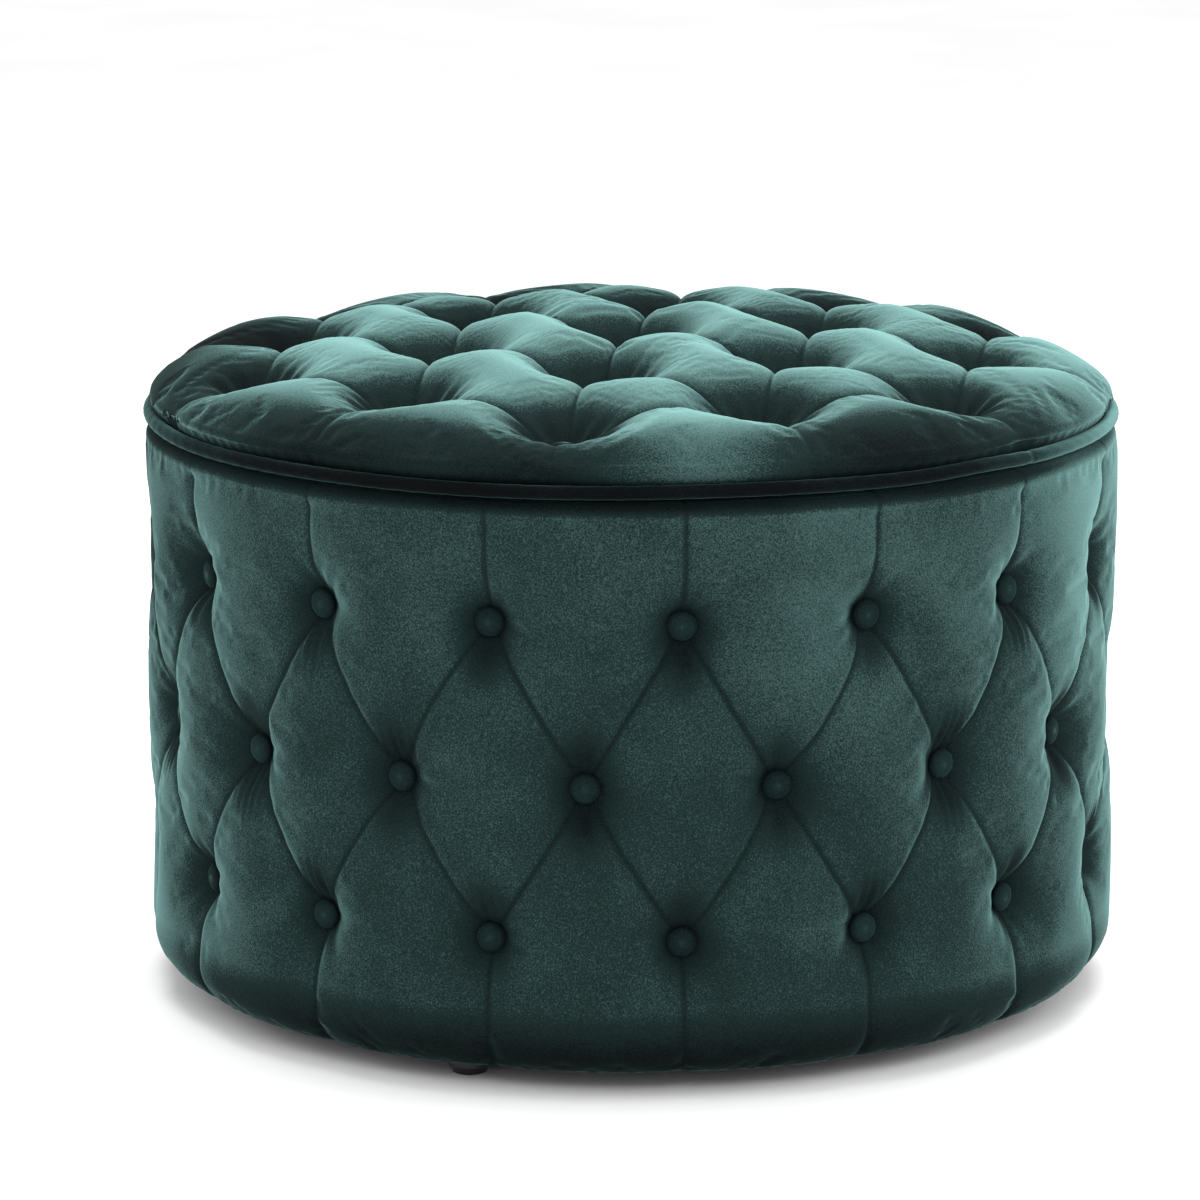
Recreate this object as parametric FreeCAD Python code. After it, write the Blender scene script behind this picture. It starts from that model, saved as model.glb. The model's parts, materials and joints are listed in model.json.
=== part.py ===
"""Round tufted storage ottoman: an upholstered drum with a lift-off upholstered lid.

Millimetres, +Z up, origin on the floor at the centre of the drum. The front is towards -Y.
Each sub-part is written to parts/NODE.step.
"""
import FreeCAD
import Part
import math
import os

V = FreeCAD.Vector

# ---------------------------------------------------------------- driving dimensions
# whole object
SIDE_RADIUS = 350.0           # fullest velvet surface of the drum's side
DRUM_HEIGHT = 402.0           # underside of the upholstery to the drum's top edge
FOOT_HEIGHT = 12.0            # floor to the underside of the upholstery
LID_PADDING = 50.4            # lid board's top to the top of its padding

# cloth and padding
VELVET = 1.6                  # cover cloth, pile and backing
WADDING = 3.0                 # fibre layer between foam and velvet
LINING = 1.0                  # non-woven lining cloth
LAYER_GAP = 0.3               # air between curved layers
BOTTOM_ROLL = 36.0            # radius of the padding rolled under the drum
TOP_ROLL = 9.0                # radius of the drum's top edge
COVER_TURN_IN = 52.0          # velvet turned in under the base
TOP_TURN_IN = 20.0            # velvet turned in over the top ring
CLOTH_EDGE_GAP = 1.0          # lining's edge short of the velvet's edge on the top ring
DUST_COVER_OVERLAP = 10.0     # dust cover over the velvet's edge under the base

# frame
SIDE_PADDING = 30.0           # fullest velvet to the bent fibreboard shell
SHELL_THICK = 4.0
SHELL_FOOT = 6.0              # shell's lower edge above the base board's underside
BOARD = 15.0                  # plywood of the base, the middle ring and the lid
TOP_RING_THICK = 18.0
WALL_DEPTH = 34.0             # shell's outside to the inner liner's outside
LINER_THICK = 3.0
FLOOR_PANEL_THICK = 3.0
POST_COUNT = 8
POST_WIDTH = 28.0
BOARD_CLEARANCE = 0.3         # boards inside the shell

# buttons
BUTTON_RADIUS = 11.0
BUTTON_THICK = 7.0
BUTTON_EDGE = 2.5             # straight edge of a button under its dome
BUTTON_CLEARANCE = 0.5        # dimple floor round a button
DIMPLE_SLOPE = 1.25           # sideways spread of a dimple for each mm of depth, on the side
LID_DIMPLE_SLOPE = 0.8        # the same on the lid
SIDE_COLUMNS = 16
TOP_ROW_DROP = 85.4           # top row of buttons below the drum's top edge
BOTTOM_ROW_RISE = 96.4        # bottom row above the underside of the upholstery
MIDDLE_ROW_SAG = 3.0          # middle row below half way between them
SIDE_FIRST_COLUMN = 6.0       # degrees from the front towards +X
SIDE_BUTTON_SINK = 11.0       # button's face below the fullest velvet
LID_BUTTON_MARGIN = 62.0      # outermost lid buttons inside the widest part of the lid
LID_LATTICE_TURN = 9.0        # degrees, lattice's first direction from +Y towards +X
LID_SQUEEZED = 4.4            # padding left under a lid button

# ties behind the buttons
TIE_RADIUS = 0.8
TIE_HOLE_RADIUS = 1.4
KNOT_RADIUS = 1.6
WASHER_RADIUS = 9.0
WASHER_THICK = 1.4
WASHER_POCKET_DEPTH = 3.4     # pocket for a washer in the lid board's underside

# lid
LID_SEAM_GAP = 3.0            # drum's top edge to the lid's underside
LID_EDGE_PADDING = 7.5        # lid board's edge to the velvet at the seam
LID_SWELL_INSET = 1.0         # widest part of the lid's padding inside the fullest side
LID_SWELL_RISE = 18.0         # its height above the lid's underside
LID_DOME_SIDE_POWER = 2.5     # roundness of the dome towards its edge
LID_DOME_TOP_POWER = 2.2      # fullness of the dome's shoulder
DOME_STEPS = 10               # points that its curve passes through
PIPING_RADIUS = 5.0
PIPING_SET_BACK = 2.0         # piping's centre inside the fullest side
PIPING_WRAP_ANGLE = 120.0     # velvet follows the piping from 180 degrees up to this angle
PIPING_CORD_RADIUS = 3.2
PIPING_GAP = 0.5              # air between the piping and the velvet behind it
LID_TURN_IN = 40.0            # velvet turned in under the lid board
LOCATING_RING_WIDTH = 16.0
LOCATING_RING_THICK = 12.0
LOCATING_CLEARANCE = 5.0      # locating ring inside the lined drum
LINING_MARGIN = 8.0           # lid lining short of the lid board's edge of velvet

# feet, pads and fasteners
FOOT_RADIUS = 15.0
FOOT_TIP_RADIUS = 12.0
FOOT_EDGE_MARGIN = 2.7        # foot inside the base board's edge
FOOT_FIRST_ANGLE = -22.0      # degrees from the front towards +X
FOOT_COUNT = 4
FOOT_SCREW_POCKET = 5.0       # counterbore depth in a foot
PAD_RADIUS = 9.0
PAD_COUNT = 8
PAD_REST_GAP = 0.2            # felt pads above the velvet of the drum's top edge
SCREW_RADIUS = 2.0
SCREW_HEAD_RADIUS = 4.0
SCREW_HEAD_THICK = 2.4
SCREW_CLEARANCE = 0.1
FOOT_SCREW_LENGTH = 20.0
POST_SCREW_LENGTH = 38.0
LOCATING_SCREW_LENGTH = 20.0
LOCATING_SCREW_COUNT = 8
STAPLE_WIDTH = 10.0
STAPLE_LEG = 6.0
STAPLE_WIRE = 0.6
STAPLE_COUNT = 36
STAPLE_MARGIN = 5.0           # staples inside a cloth's edge

# ---------------------------------------------------------------- levels and radii that follow
SHELL_RADIUS = SIDE_RADIUS - SIDE_PADDING
LINER_RADIUS = SHELL_RADIUS - WALL_DEPTH
COVER_BOTTOM = FOOT_HEIGHT
BASE_BOTTOM = COVER_BOTTOM + VELVET
BASE_TOP = BASE_BOTTOM + BOARD
DRUM_TOP = COVER_BOTTOM + DRUM_HEIGHT
RING_TOP = DRUM_TOP - VELVET
RING_BOTTOM = RING_TOP - TOP_RING_THICK
TOP_ROW = DRUM_TOP - TOP_ROW_DROP
BOTTOM_ROW = COVER_BOTTOM + BOTTOM_ROW_RISE
MIDDLE_ROW = (TOP_ROW + BOTTOM_ROW) / 2 - MIDDLE_ROW_SAG
MID_BOTTOM = (TOP_ROW + MIDDLE_ROW - BOARD) / 2
MID_TOP = MID_BOTTOM + BOARD
SHELL_INSIDE = SHELL_RADIUS - SHELL_THICK
SHELL_BOTTOM = BASE_BOTTOM + SHELL_FOOT
BOARD_RADIUS = SHELL_INSIDE - BOARD_CLEARANCE
FOOT_PITCH_RADIUS = BOARD_RADIUS - FOOT_RADIUS - FOOT_EDGE_MARGIN
LINER_INSIDE = LINER_RADIUS - LINER_THICK
LINING_OUTSIDE = LINER_INSIDE - LAYER_GAP
LINING_INSIDE = LINING_OUTSIDE - LINING
RING_INSIDE = LINING_OUTSIDE + LAYER_GAP
POST_INNER = LINER_RADIUS + LAYER_GAP
POST_OUTER = math.sqrt(BOARD_RADIUS ** 2 - (POST_WIDTH / 2) ** 2)
FLOOR_TOP = BASE_TOP + FLOOR_PANEL_THICK + LINING
POST_FIRST_ANGLE = SIDE_FIRST_COLUMN + 90.0 / SIDE_COLUMNS
COLUMN_STEP = 360.0 / SIDE_COLUMNS
LID_BOTTOM = DRUM_TOP + LID_SEAM_GAP
LID_BOARD_BOTTOM = LID_BOTTOM + VELVET
LID_BOARD_TOP = LID_BOARD_BOTTOM + BOARD
LID_LINING_BOTTOM = LID_BOTTOM - LINING
LID_CROWN = VELVET + BOARD + LID_PADDING
LID_SWELL_RADIUS = SIDE_RADIUS - LID_SWELL_INSET
LID_BUTTON_SPACING = (LID_SWELL_RADIUS - LID_BUTTON_MARGIN) / 2
PIPING_RING_RADIUS = SIDE_RADIUS - PIPING_SET_BACK
PIPING_Z = LID_BOTTOM + PIPING_RADIUS
LID_SEAM_RADIUS = PIPING_RING_RADIUS - PIPING_RADIUS - PIPING_GAP
LID_BOARD_RADIUS = LID_SEAM_RADIUS - LID_EDGE_PADDING
WADDING_INSET = VELVET + LAYER_GAP
FOAM_INSET = WADDING_INSET + WADDING + LAYER_GAP
LOCATING_RING_OUTER = LINING_INSIDE - LOCATING_CLEARANCE
LOCATING_RING_INNER = LOCATING_RING_OUTER - LOCATING_RING_WIDTH
LOCATING_RING_BOTTOM = LID_LINING_BOTTOM - LOCATING_RING_THICK
LID_BUTTON_BACK = LID_BOARD_TOP + LID_SQUEEZED
LID_LINING_RADIUS = LID_BOARD_RADIUS - LINING_MARGIN
SIDE_BUTTON_BACK = SIDE_RADIUS - SIDE_BUTTON_SINK - BUTTON_THICK
TOP_COVER_EDGE = BOARD_RADIUS - TOP_TURN_IN
BOTTOM_COVER_EDGE = SIDE_RADIUS - BOTTOM_ROLL - COVER_TURN_IN
DUST_COVER_RADIUS = BOTTOM_COVER_EDGE + DUST_COVER_OVERLAP
UP = V(0, 0, 1)


# ---------------------------------------------------------------- helpers
def compass(angle):
    """Unit vector for an angle in degrees, counted from the front (-Y) towards +X."""
    turn = math.radians(angle)
    return V(math.sin(turn), -math.cos(turn), 0)


def even_angles(count, first):
    return [first + 360.0 * step / count for step in range(count)]


def disc(radius, low, high):
    return Part.makeCylinder(radius, high - low, V(0, 0, low))


def tube(inner, outer, low, high):
    return disc(outer, low, high).cut(disc(inner, low, high))


def spin(edges):
    """Solid of revolution about Z from edges of an outline in the XZ plane."""
    face = Part.Face(Part.Wire(Part.__sortEdges__(edges)))
    return face.revolve(V(0, 0, 0), UP, 360)


def line(start, end):
    return Part.LineSegment(V(start[0], 0, start[1]), V(end[0], 0, end[1])).toShape()


def arc(centre, radius, first, last):
    """Arc in the XZ plane, angles in degrees from +X towards +Z."""
    points = []
    for turn in (first, (first + last) / 2, last):
        rad = math.radians(turn)
        points.append(V(centre[0] + radius * math.cos(rad), 0, centre[1] + radius * math.sin(rad)))
    return Part.Arc(*points).toShape()


def along(axis, start, radius, length):
    return Part.makeCylinder(radius, length, start, axis)


def stand(body, start, axis):
    """Move a body made on +Z at the origin so that it starts at a point and runs along an axis."""
    body.Placement = FreeCAD.Placement(start, FreeCAD.Rotation(UP, axis))
    return body


def save(name, solids):
    """Write one node, made of one solid or of a group of separate solids."""
    if not isinstance(solids, list):
        solids = [solids]
    pieces = []
    for solid in solids:
        pieces.extend(solid.Solids)
    shape = pieces[0] if len(pieces) == 1 else Part.makeCompound(pieces)
    shape.exportStep("parts/" + name + ".step")
    print(name, len(pieces), "solids, valid", shape.isValid())


# ---------------------------------------------------------------- button places
def side_button_places():
    """(angle, height) of every button on the drum's side; alternate rows stand half a column over."""
    places = []
    for row, height in enumerate((TOP_ROW, MIDDLE_ROW, BOTTOM_ROW)):
        shift = COLUMN_STEP / 2 if row % 2 else 0.0
        for angle in even_angles(SIDE_COLUMNS, SIDE_FIRST_COLUMN + shift):
            places.append((angle, height))
    return places


def lid_button_places():
    """(x, y) of every lid button: two rings of a triangular lattice round a centre button."""
    turn = math.radians(LID_LATTICE_TURN)
    first = V(math.sin(turn), math.cos(turn), 0) * LID_BUTTON_SPACING
    turn += math.radians(120)
    second = V(math.sin(turn), math.cos(turn), 0) * LID_BUTTON_SPACING
    places = []
    for i in range(-2, 3):
        for j in range(-2, 3):
            if abs(i - j) <= 2:
                places.append(second * i + first * j)
    return places


# ---------------------------------------------------------------- fasteners and small pieces
def button(back, axis):
    """Covered button: a straight edge under a shallow dome, its back at the given point."""
    dome_rise = BUTTON_THICK - BUTTON_EDGE
    dome_radius = (BUTTON_RADIUS ** 2 + dome_rise ** 2) / (2 * dome_rise)
    edge_angle = math.degrees(math.acos(BUTTON_RADIUS / dome_radius))
    edges = [
        line((0, 0), (BUTTON_RADIUS, 0)),
        line((BUTTON_RADIUS, 0), (BUTTON_RADIUS, BUTTON_EDGE)),
        arc((0, BUTTON_THICK - dome_radius), dome_radius, edge_angle, 90),
        line((0, BUTTON_THICK), (0, 0)),
    ]
    return stand(spin(edges), back, axis)


def tie(start, axis, length):
    """Twine running back from a button, with a round knot at its far end."""
    knot_start = -math.degrees(math.acos(TIE_RADIUS / KNOT_RADIUS))
    knot_low = length - math.sqrt(KNOT_RADIUS ** 2 - TIE_RADIUS ** 2)
    edges = [
        line((0, 0), (TIE_RADIUS, 0)),
        line((TIE_RADIUS, 0), (TIE_RADIUS, knot_low)),
        arc((0, length), KNOT_RADIUS, knot_start, 90),
        line((0, length + KNOT_RADIUS), (0, 0)),
    ]
    return stand(spin(edges), start, axis)


def washer(seat, axis):
    """Tie washer whose face lies at the seat point and which runs on along the axis."""
    body = along(axis, seat, WASHER_RADIUS, WASHER_THICK)
    return body.cut(along(axis, seat, TIE_HOLE_RADIUS, WASHER_THICK))


def screw(head_top, axis, length):
    """Pan-head screw; the axis points from the head along the shank."""
    head = along(axis, head_top, SCREW_HEAD_RADIUS, SCREW_HEAD_THICK)
    return head.fuse(along(axis, head_top, SCREW_RADIUS, length)).removeSplitter()


def screw_space(head_top, axis, length):
    """What a screw needs cut out of the boards it passes."""
    head = along(axis, head_top, SCREW_HEAD_RADIUS + SCREW_CLEARANCE, SCREW_HEAD_THICK)
    return head.fuse(along(axis, head_top, SCREW_RADIUS + SCREW_CLEARANCE, length))


def staple(angle, radius, face, into):
    """Wire staple whose crown lies on a level face; into is +1 or -1, the way its legs point in Z."""
    low = face - STAPLE_WIRE if into > 0 else face
    crown = Part.makeBox(STAPLE_WIDTH, STAPLE_WIRE, STAPLE_WIRE, V(-STAPLE_WIDTH / 2, -radius, low))
    leg_low = face if into > 0 else face - STAPLE_LEG
    body = crown
    for side in (-STAPLE_WIDTH / 2, STAPLE_WIDTH / 2 - STAPLE_WIRE):
        body = body.fuse(Part.makeBox(STAPLE_WIRE, STAPLE_WIRE, STAPLE_LEG, V(side, -radius, leg_low)))
    body = body.removeSplitter()
    body.rotate(V(0, 0, 0), UP, angle)
    return body


def staple_ring(radius, face, into, first):
    return [staple(angle, radius, face, into) for angle in even_angles(STAPLE_COUNT, first)]


# ---------------------------------------------------------------- screw places
def foot_angles():
    return even_angles(FOOT_COUNT, FOOT_FIRST_ANGLE)


def foot_screw_places():
    level = FOOT_SCREW_POCKET - SCREW_HEAD_THICK
    return [compass(a) * FOOT_PITCH_RADIUS + V(0, 0, level) for a in foot_angles()]


def post_middle(angle, level):
    return compass(angle) * ((POST_INNER + POST_OUTER) / 2) + V(0, 0, level)


def post_angles():
    return even_angles(POST_COUNT, POST_FIRST_ANGLE)


def locating_screw_places():
    middle = (LOCATING_RING_INNER + LOCATING_RING_OUTER) / 2
    return [compass(a) * middle + V(0, 0, LOCATING_RING_BOTTOM) for a in even_angles(LOCATING_SCREW_COUNT, 0)]


# ---------------------------------------------------------------- drum: frame
def base_board():
    """Round board with a bevelled lower edge, drilled for the feet and the posts."""
    edges = [
        line((0, BASE_BOTTOM), (BOARD_RADIUS - SHELL_FOOT, BASE_BOTTOM)),
        line((BOARD_RADIUS - SHELL_FOOT, BASE_BOTTOM), (BOARD_RADIUS, SHELL_BOTTOM)),
        line((BOARD_RADIUS, SHELL_BOTTOM), (BOARD_RADIUS, BASE_TOP)),
        line((BOARD_RADIUS, BASE_TOP), (0, BASE_TOP)),
        line((0, BASE_TOP), (0, BASE_BOTTOM)),
    ]
    cuts = [screw_space(place, UP, FOOT_SCREW_LENGTH) for place in foot_screw_places()]
    cuts += [screw_space(post_middle(a, BASE_BOTTOM), UP, POST_SCREW_LENGTH) for a in post_angles()]
    return spin(edges).cut(Part.makeCompound(cuts))


def posts(low, high):
    """Upright battens between two levels, flat faced, standing just inside the shell."""
    made = []
    corner = V(-POST_WIDTH / 2, -POST_OUTER, low)
    for angle in post_angles():
        post = Part.makeBox(POST_WIDTH, POST_OUTER - POST_INNER, high - low, corner)
        post.rotate(V(0, 0, 0), UP, angle)
        made.append(post)
    return made


def drilled_posts(low, high, head_level, into):
    """Posts with the screw hole that comes through the board at one end."""
    spaces = [screw_space(post_middle(a, head_level), UP * into, POST_SCREW_LENGTH) for a in post_angles()]
    return [post.cut(space) for post, space in zip(posts(low, high), spaces)]


def top_ring():
    ring = tube(RING_INSIDE, BOARD_RADIUS, RING_BOTTOM, RING_TOP)
    spaces = [screw_space(post_middle(a, RING_TOP), -UP, POST_SCREW_LENGTH) for a in post_angles()]
    return ring.cut(Part.makeCompound(spaces))


def side_tie_holes(inner, outer):
    holes = []
    for angle, height in side_button_places():
        way = compass(angle)
        holes.append(along(way, way * inner + V(0, 0, height), TIE_HOLE_RADIUS, outer - inner))
    return Part.makeCompound(holes)


def outer_shell():
    shell = tube(SHELL_INSIDE, SHELL_RADIUS, SHELL_BOTTOM, RING_TOP)
    return shell.cut(side_tie_holes(SHELL_INSIDE - 1, SHELL_RADIUS + 1))


# ---------------------------------------------------------------- drum: padding and velvet
def side_form(inset):
    """Solid drum bounded by the velvet's outside, or by a surface that far inside it, with dimples."""
    radius = SIDE_RADIUS - inset
    low = COVER_BOTTOM + inset
    high = DRUM_TOP - inset
    roll = BOTTOM_ROLL - inset
    edge = TOP_ROLL - inset if inset < TOP_ROLL - 1 else 1.0
    edges = [
        line((0, low), (radius - roll, low)),
        arc((radius - roll, low + roll), roll, -90, 0),
        line((radius, low + roll), (radius, high - edge)),
        arc((radius - edge, high - edge), edge, 0, 90),
        line((radius - edge, high), (0, high)),
        line((0, high), (0, low)),
    ]
    floor = SIDE_BUTTON_BACK - inset
    depth = radius - floor + 1
    small = BUTTON_RADIUS + BUTTON_CLEARANCE + inset
    cones = []
    for angle, height in side_button_places():
        way = compass(angle)
        start = way * floor + V(0, 0, height)
        cones.append(Part.makeCone(small, small + DIMPLE_SLOPE * depth, depth, start, way))
    return spin(edges).cut(Part.makeCompound(cones))


def shell_core():
    """The frame's outside, which the padding wraps, with a little air round it."""
    radius = SHELL_RADIUS + LAYER_GAP
    bevel_inner = BOARD_RADIUS - SHELL_FOOT
    edges = [
        line((0, 0), (bevel_inner, 0)),
        line((bevel_inner, 0), (bevel_inner, BASE_BOTTOM)),
        line((bevel_inner, BASE_BOTTOM), (BOARD_RADIUS + LAYER_GAP, SHELL_BOTTOM - LAYER_GAP)),
        line((BOARD_RADIUS + LAYER_GAP, SHELL_BOTTOM - LAYER_GAP), (radius, SHELL_BOTTOM - LAYER_GAP)),
        line((radius, SHELL_BOTTOM - LAYER_GAP), (radius, DRUM_TOP + 1)),
        line((radius, DRUM_TOP + 1), (0, DRUM_TOP + 1)),
        line((0, DRUM_TOP + 1), (0, 0)),
    ]
    return spin(edges)


def side_foam():
    foam = side_form(FOAM_INSET).cut(shell_core())
    return foam.cut(side_tie_holes(SHELL_RADIUS, SIDE_RADIUS))


def side_wadding():
    layer = side_form(WADDING_INSET).cut(side_form(WADDING_INSET + WADDING)).cut(shell_core())
    return layer.cut(side_tie_holes(SHELL_RADIUS, SIDE_RADIUS))


def side_cover():
    """Velvet skin with a dimple at each button, turned in over the top ring and under the base."""
    skin = side_form(0).cut(side_form(VELVET))
    skin = skin.cut(disc(BOTTOM_COVER_EDGE, 0, DRUM_TOP / 2))
    skin = skin.cut(disc(TOP_COVER_EDGE, DRUM_TOP / 2, DRUM_TOP + 1))
    hole_radius = SCREW_RADIUS + SCREW_CLEARANCE
    holes = [along(UP, place, hole_radius, FOOT_SCREW_LENGTH) for place in foot_screw_places()]
    return skin.cut(side_tie_holes(SHELL_RADIUS, SIDE_RADIUS)).cut(Part.makeCompound(holes))


def side_buttons():
    made = []
    for angle, height in side_button_places():
        way = compass(angle)
        made.append(button(way * SIDE_BUTTON_BACK + V(0, 0, height), way))
    return made


def side_washer_seat():
    """Radius at which a flat washer's rim meets the shell's hollow inside."""
    return math.sqrt(SHELL_INSIDE ** 2 - WASHER_RADIUS ** 2) - SCREW_CLEARANCE


def side_ties():
    length = SIDE_BUTTON_BACK - side_washer_seat() + WASHER_THICK + KNOT_RADIUS
    made = []
    for angle, height in side_button_places():
        way = compass(angle)
        made.append(tie(way * SIDE_BUTTON_BACK + V(0, 0, height), -way, length))
    return made


def side_washers():
    made = []
    for angle, height in side_button_places():
        way = compass(angle)
        made.append(washer(way * side_washer_seat() + V(0, 0, height), -way))
    return made


# ---------------------------------------------------------------- drum: lining and base
def lining_wall():
    """Cloth tube inside the liner, turned out over the top ring up to the velvet's edge."""
    wall = tube(LINING_INSIDE, LINING_OUTSIDE, FLOOR_TOP, RING_TOP + LINING)
    turned_out = tube(LINING_INSIDE, TOP_COVER_EDGE - CLOTH_EDGE_GAP, RING_TOP, RING_TOP + LINING)
    return wall.fuse(turned_out).removeSplitter()


def foot(angle):
    """Moulded glide: straight above, tapering to a rounded tip, with a pocket for its screw."""
    half = FOOT_HEIGHT / 2
    tip = 2.0
    edges = [
        line((0, 0), (FOOT_TIP_RADIUS - tip, 0)),
        arc((FOOT_TIP_RADIUS - tip, tip), tip, -90, 0),
        line((FOOT_TIP_RADIUS, tip), (FOOT_RADIUS, half)),
        line((FOOT_RADIUS, half), (FOOT_RADIUS, FOOT_HEIGHT)),
        line((FOOT_RADIUS, FOOT_HEIGHT), (0, FOOT_HEIGHT)),
        line((0, FOOT_HEIGHT), (0, 0)),
    ]
    body = spin(edges).cut(disc(SCREW_HEAD_RADIUS + BUTTON_CLEARANCE, 0, FOOT_SCREW_POCKET))
    body = body.cut(disc(SCREW_RADIUS + SCREW_CLEARANCE, 0, FOOT_HEIGHT))
    body.translate(compass(angle) * FOOT_PITCH_RADIUS)
    return body


# ---------------------------------------------------------------- lid
def lid_form(inset):
    """Solid lid bounded by the velvet's outside, or by a surface that far inside it, with dimples.

    The outline rises at the seam, follows the piping round, swells out over it, and closes in a
    dome: height = swell + rise * (1 - (r / swell radius) ^ side power) ^ (1 / top power).
    """
    seam = LID_SEAM_RADIUS - inset
    low = LID_BOTTOM + min(inset, VELVET)
    hug = PIPING_RADIUS + PIPING_GAP + inset
    hug_end = math.radians(PIPING_WRAP_ANGLE)
    hug_point = (PIPING_RING_RADIUS + hug * math.cos(hug_end), PIPING_Z + hug * math.sin(hug_end))
    swell = LID_SWELL_RADIUS - inset
    swell_z = LID_BOTTOM + LID_SWELL_RISE
    rise = LID_CROWN - LID_SWELL_RISE - inset
    points = []
    for step in range(DOME_STEPS + 1):
        share = math.cos(math.radians(90.0 * step / DOME_STEPS))
        fall = max(0.0, 1 - share ** LID_DOME_SIDE_POWER)
        points.append(V(swell * share, 0, swell_z + rise * fall ** (1 / LID_DOME_TOP_POWER)))
    dome = Part.BSplineCurve()
    dome.interpolate(points)
    edges = [
        line((0, low), (seam, low)),
        line((seam, low), (seam, PIPING_Z)),
        arc((PIPING_RING_RADIUS, PIPING_Z), hug, 180, PIPING_WRAP_ANGLE),
        line(hug_point, (swell, swell_z)),
        dome.toShape(),
        line((0, LID_BOTTOM + LID_CROWN - inset), (0, low)),
    ]
    floor = LID_BUTTON_BACK - inset
    depth = LID_BOTTOM + LID_CROWN - floor + 1
    small = BUTTON_RADIUS + BUTTON_CLEARANCE + inset
    cones = []
    for place in lid_button_places():
        start = place + V(0, 0, floor)
        cones.append(Part.makeCone(small, small + LID_DIMPLE_SLOPE * depth, depth, start, UP))
    return spin(edges).cut(Part.makeCompound(cones))


def lid_tie_holes():
    level = V(0, 0, LID_BOTTOM)
    holes = [along(UP, place + level, TIE_HOLE_RADIUS, LID_CROWN) for place in lid_button_places()]
    return Part.makeCompound(holes)


def lid_board():
    """Round board, drilled for the ties, with a pocket under each hole and holes for the screws."""
    level = V(0, 0, LID_BOARD_BOTTOM)
    pocket_radius = WASHER_RADIUS + BUTTON_CLEARANCE
    pockets = [along(UP, place + level, pocket_radius, WASHER_POCKET_DEPTH) for place in lid_button_places()]
    screws = [screw_space(place, UP, LOCATING_SCREW_LENGTH) for place in locating_screw_places()]
    board = disc(LID_BOARD_RADIUS, LID_BOARD_BOTTOM, LID_BOARD_TOP)
    return board.cut(Part.makeCompound(pockets)).cut(lid_tie_holes()).cut(Part.makeCompound(screws))


def lid_core():
    """The board's outside with a little air round its edge, carried down past the padding."""
    return disc(LID_BOARD_RADIUS + LAYER_GAP, LID_BOTTOM - 1, LID_BOARD_TOP)


def hollow(outside, inside):
    """The skin between two closed solids, where the second lies wholly inside the first."""
    shells = [outside.Solids[0].OuterShell, inside.Solids[0].OuterShell.reversed()]
    return Part.makeSolid(Part.makeCompound(shells))


def lid_cover():
    skin = hollow(lid_form(0), lid_form(VELVET))
    skin = skin.cut(disc(LID_SEAM_RADIUS - LID_TURN_IN, LID_BOTTOM - 1, LID_BOARD_BOTTOM + 1))
    return skin.cut(lid_tie_holes())


def lid_wadding():
    layer = lid_form(WADDING_INSET).cut(lid_form(WADDING_INSET + WADDING)).cut(lid_core())
    return layer.cut(lid_tie_holes())


def lid_foam():
    return lid_form(FOAM_INSET).cut(lid_core())


def lid_buttons():
    return [button(place + V(0, 0, LID_BUTTON_BACK), UP) for place in lid_button_places()]


def lid_washer_seat():
    return LID_BOARD_BOTTOM + WASHER_POCKET_DEPTH


def lid_ties():
    length = LID_BUTTON_BACK - lid_washer_seat() + WASHER_THICK + KNOT_RADIUS
    return [tie(place + V(0, 0, LID_BUTTON_BACK), -UP, length) for place in lid_button_places()]


def lid_washers():
    return [washer(place + V(0, 0, lid_washer_seat()), -UP) for place in lid_button_places()]


def piping_cover():
    """Velvet tube sewn round the piping cord."""
    outer = Part.makeTorus(PIPING_RING_RADIUS, PIPING_RADIUS, V(0, 0, PIPING_Z))
    return outer.cut(Part.makeTorus(PIPING_RING_RADIUS, PIPING_CORD_RADIUS + LAYER_GAP, V(0, 0, PIPING_Z)))


def locating_ring():
    ring = tube(LOCATING_RING_INNER, LOCATING_RING_OUTER, LOCATING_RING_BOTTOM, LID_LINING_BOTTOM)
    spaces = [screw_space(place, UP, LOCATING_SCREW_LENGTH) for place in locating_screw_places()]
    return ring.cut(Part.makeCompound(spaces))


def lid_lining():
    cloth = disc(LID_LINING_RADIUS, LID_LINING_BOTTOM, LID_BOTTOM)
    spaces = [screw_space(place, UP, LOCATING_SCREW_LENGTH) for place in locating_screw_places()]
    return cloth.cut(Part.makeCompound(spaces))


def felt_pads():
    """Pads stuck under the lid's lining, just clear of the drum's top edge when the lid is on."""
    middle = TOP_COVER_EDGE + PAD_RADIUS
    low = DRUM_TOP + PAD_REST_GAP
    height = LID_LINING_BOTTOM - low
    first = 180.0 / PAD_COUNT
    places = [compass(a) * middle + V(0, 0, low) for a in even_angles(PAD_COUNT, first)]
    return [along(UP, place, PAD_RADIUS, height) for place in places]


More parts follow.
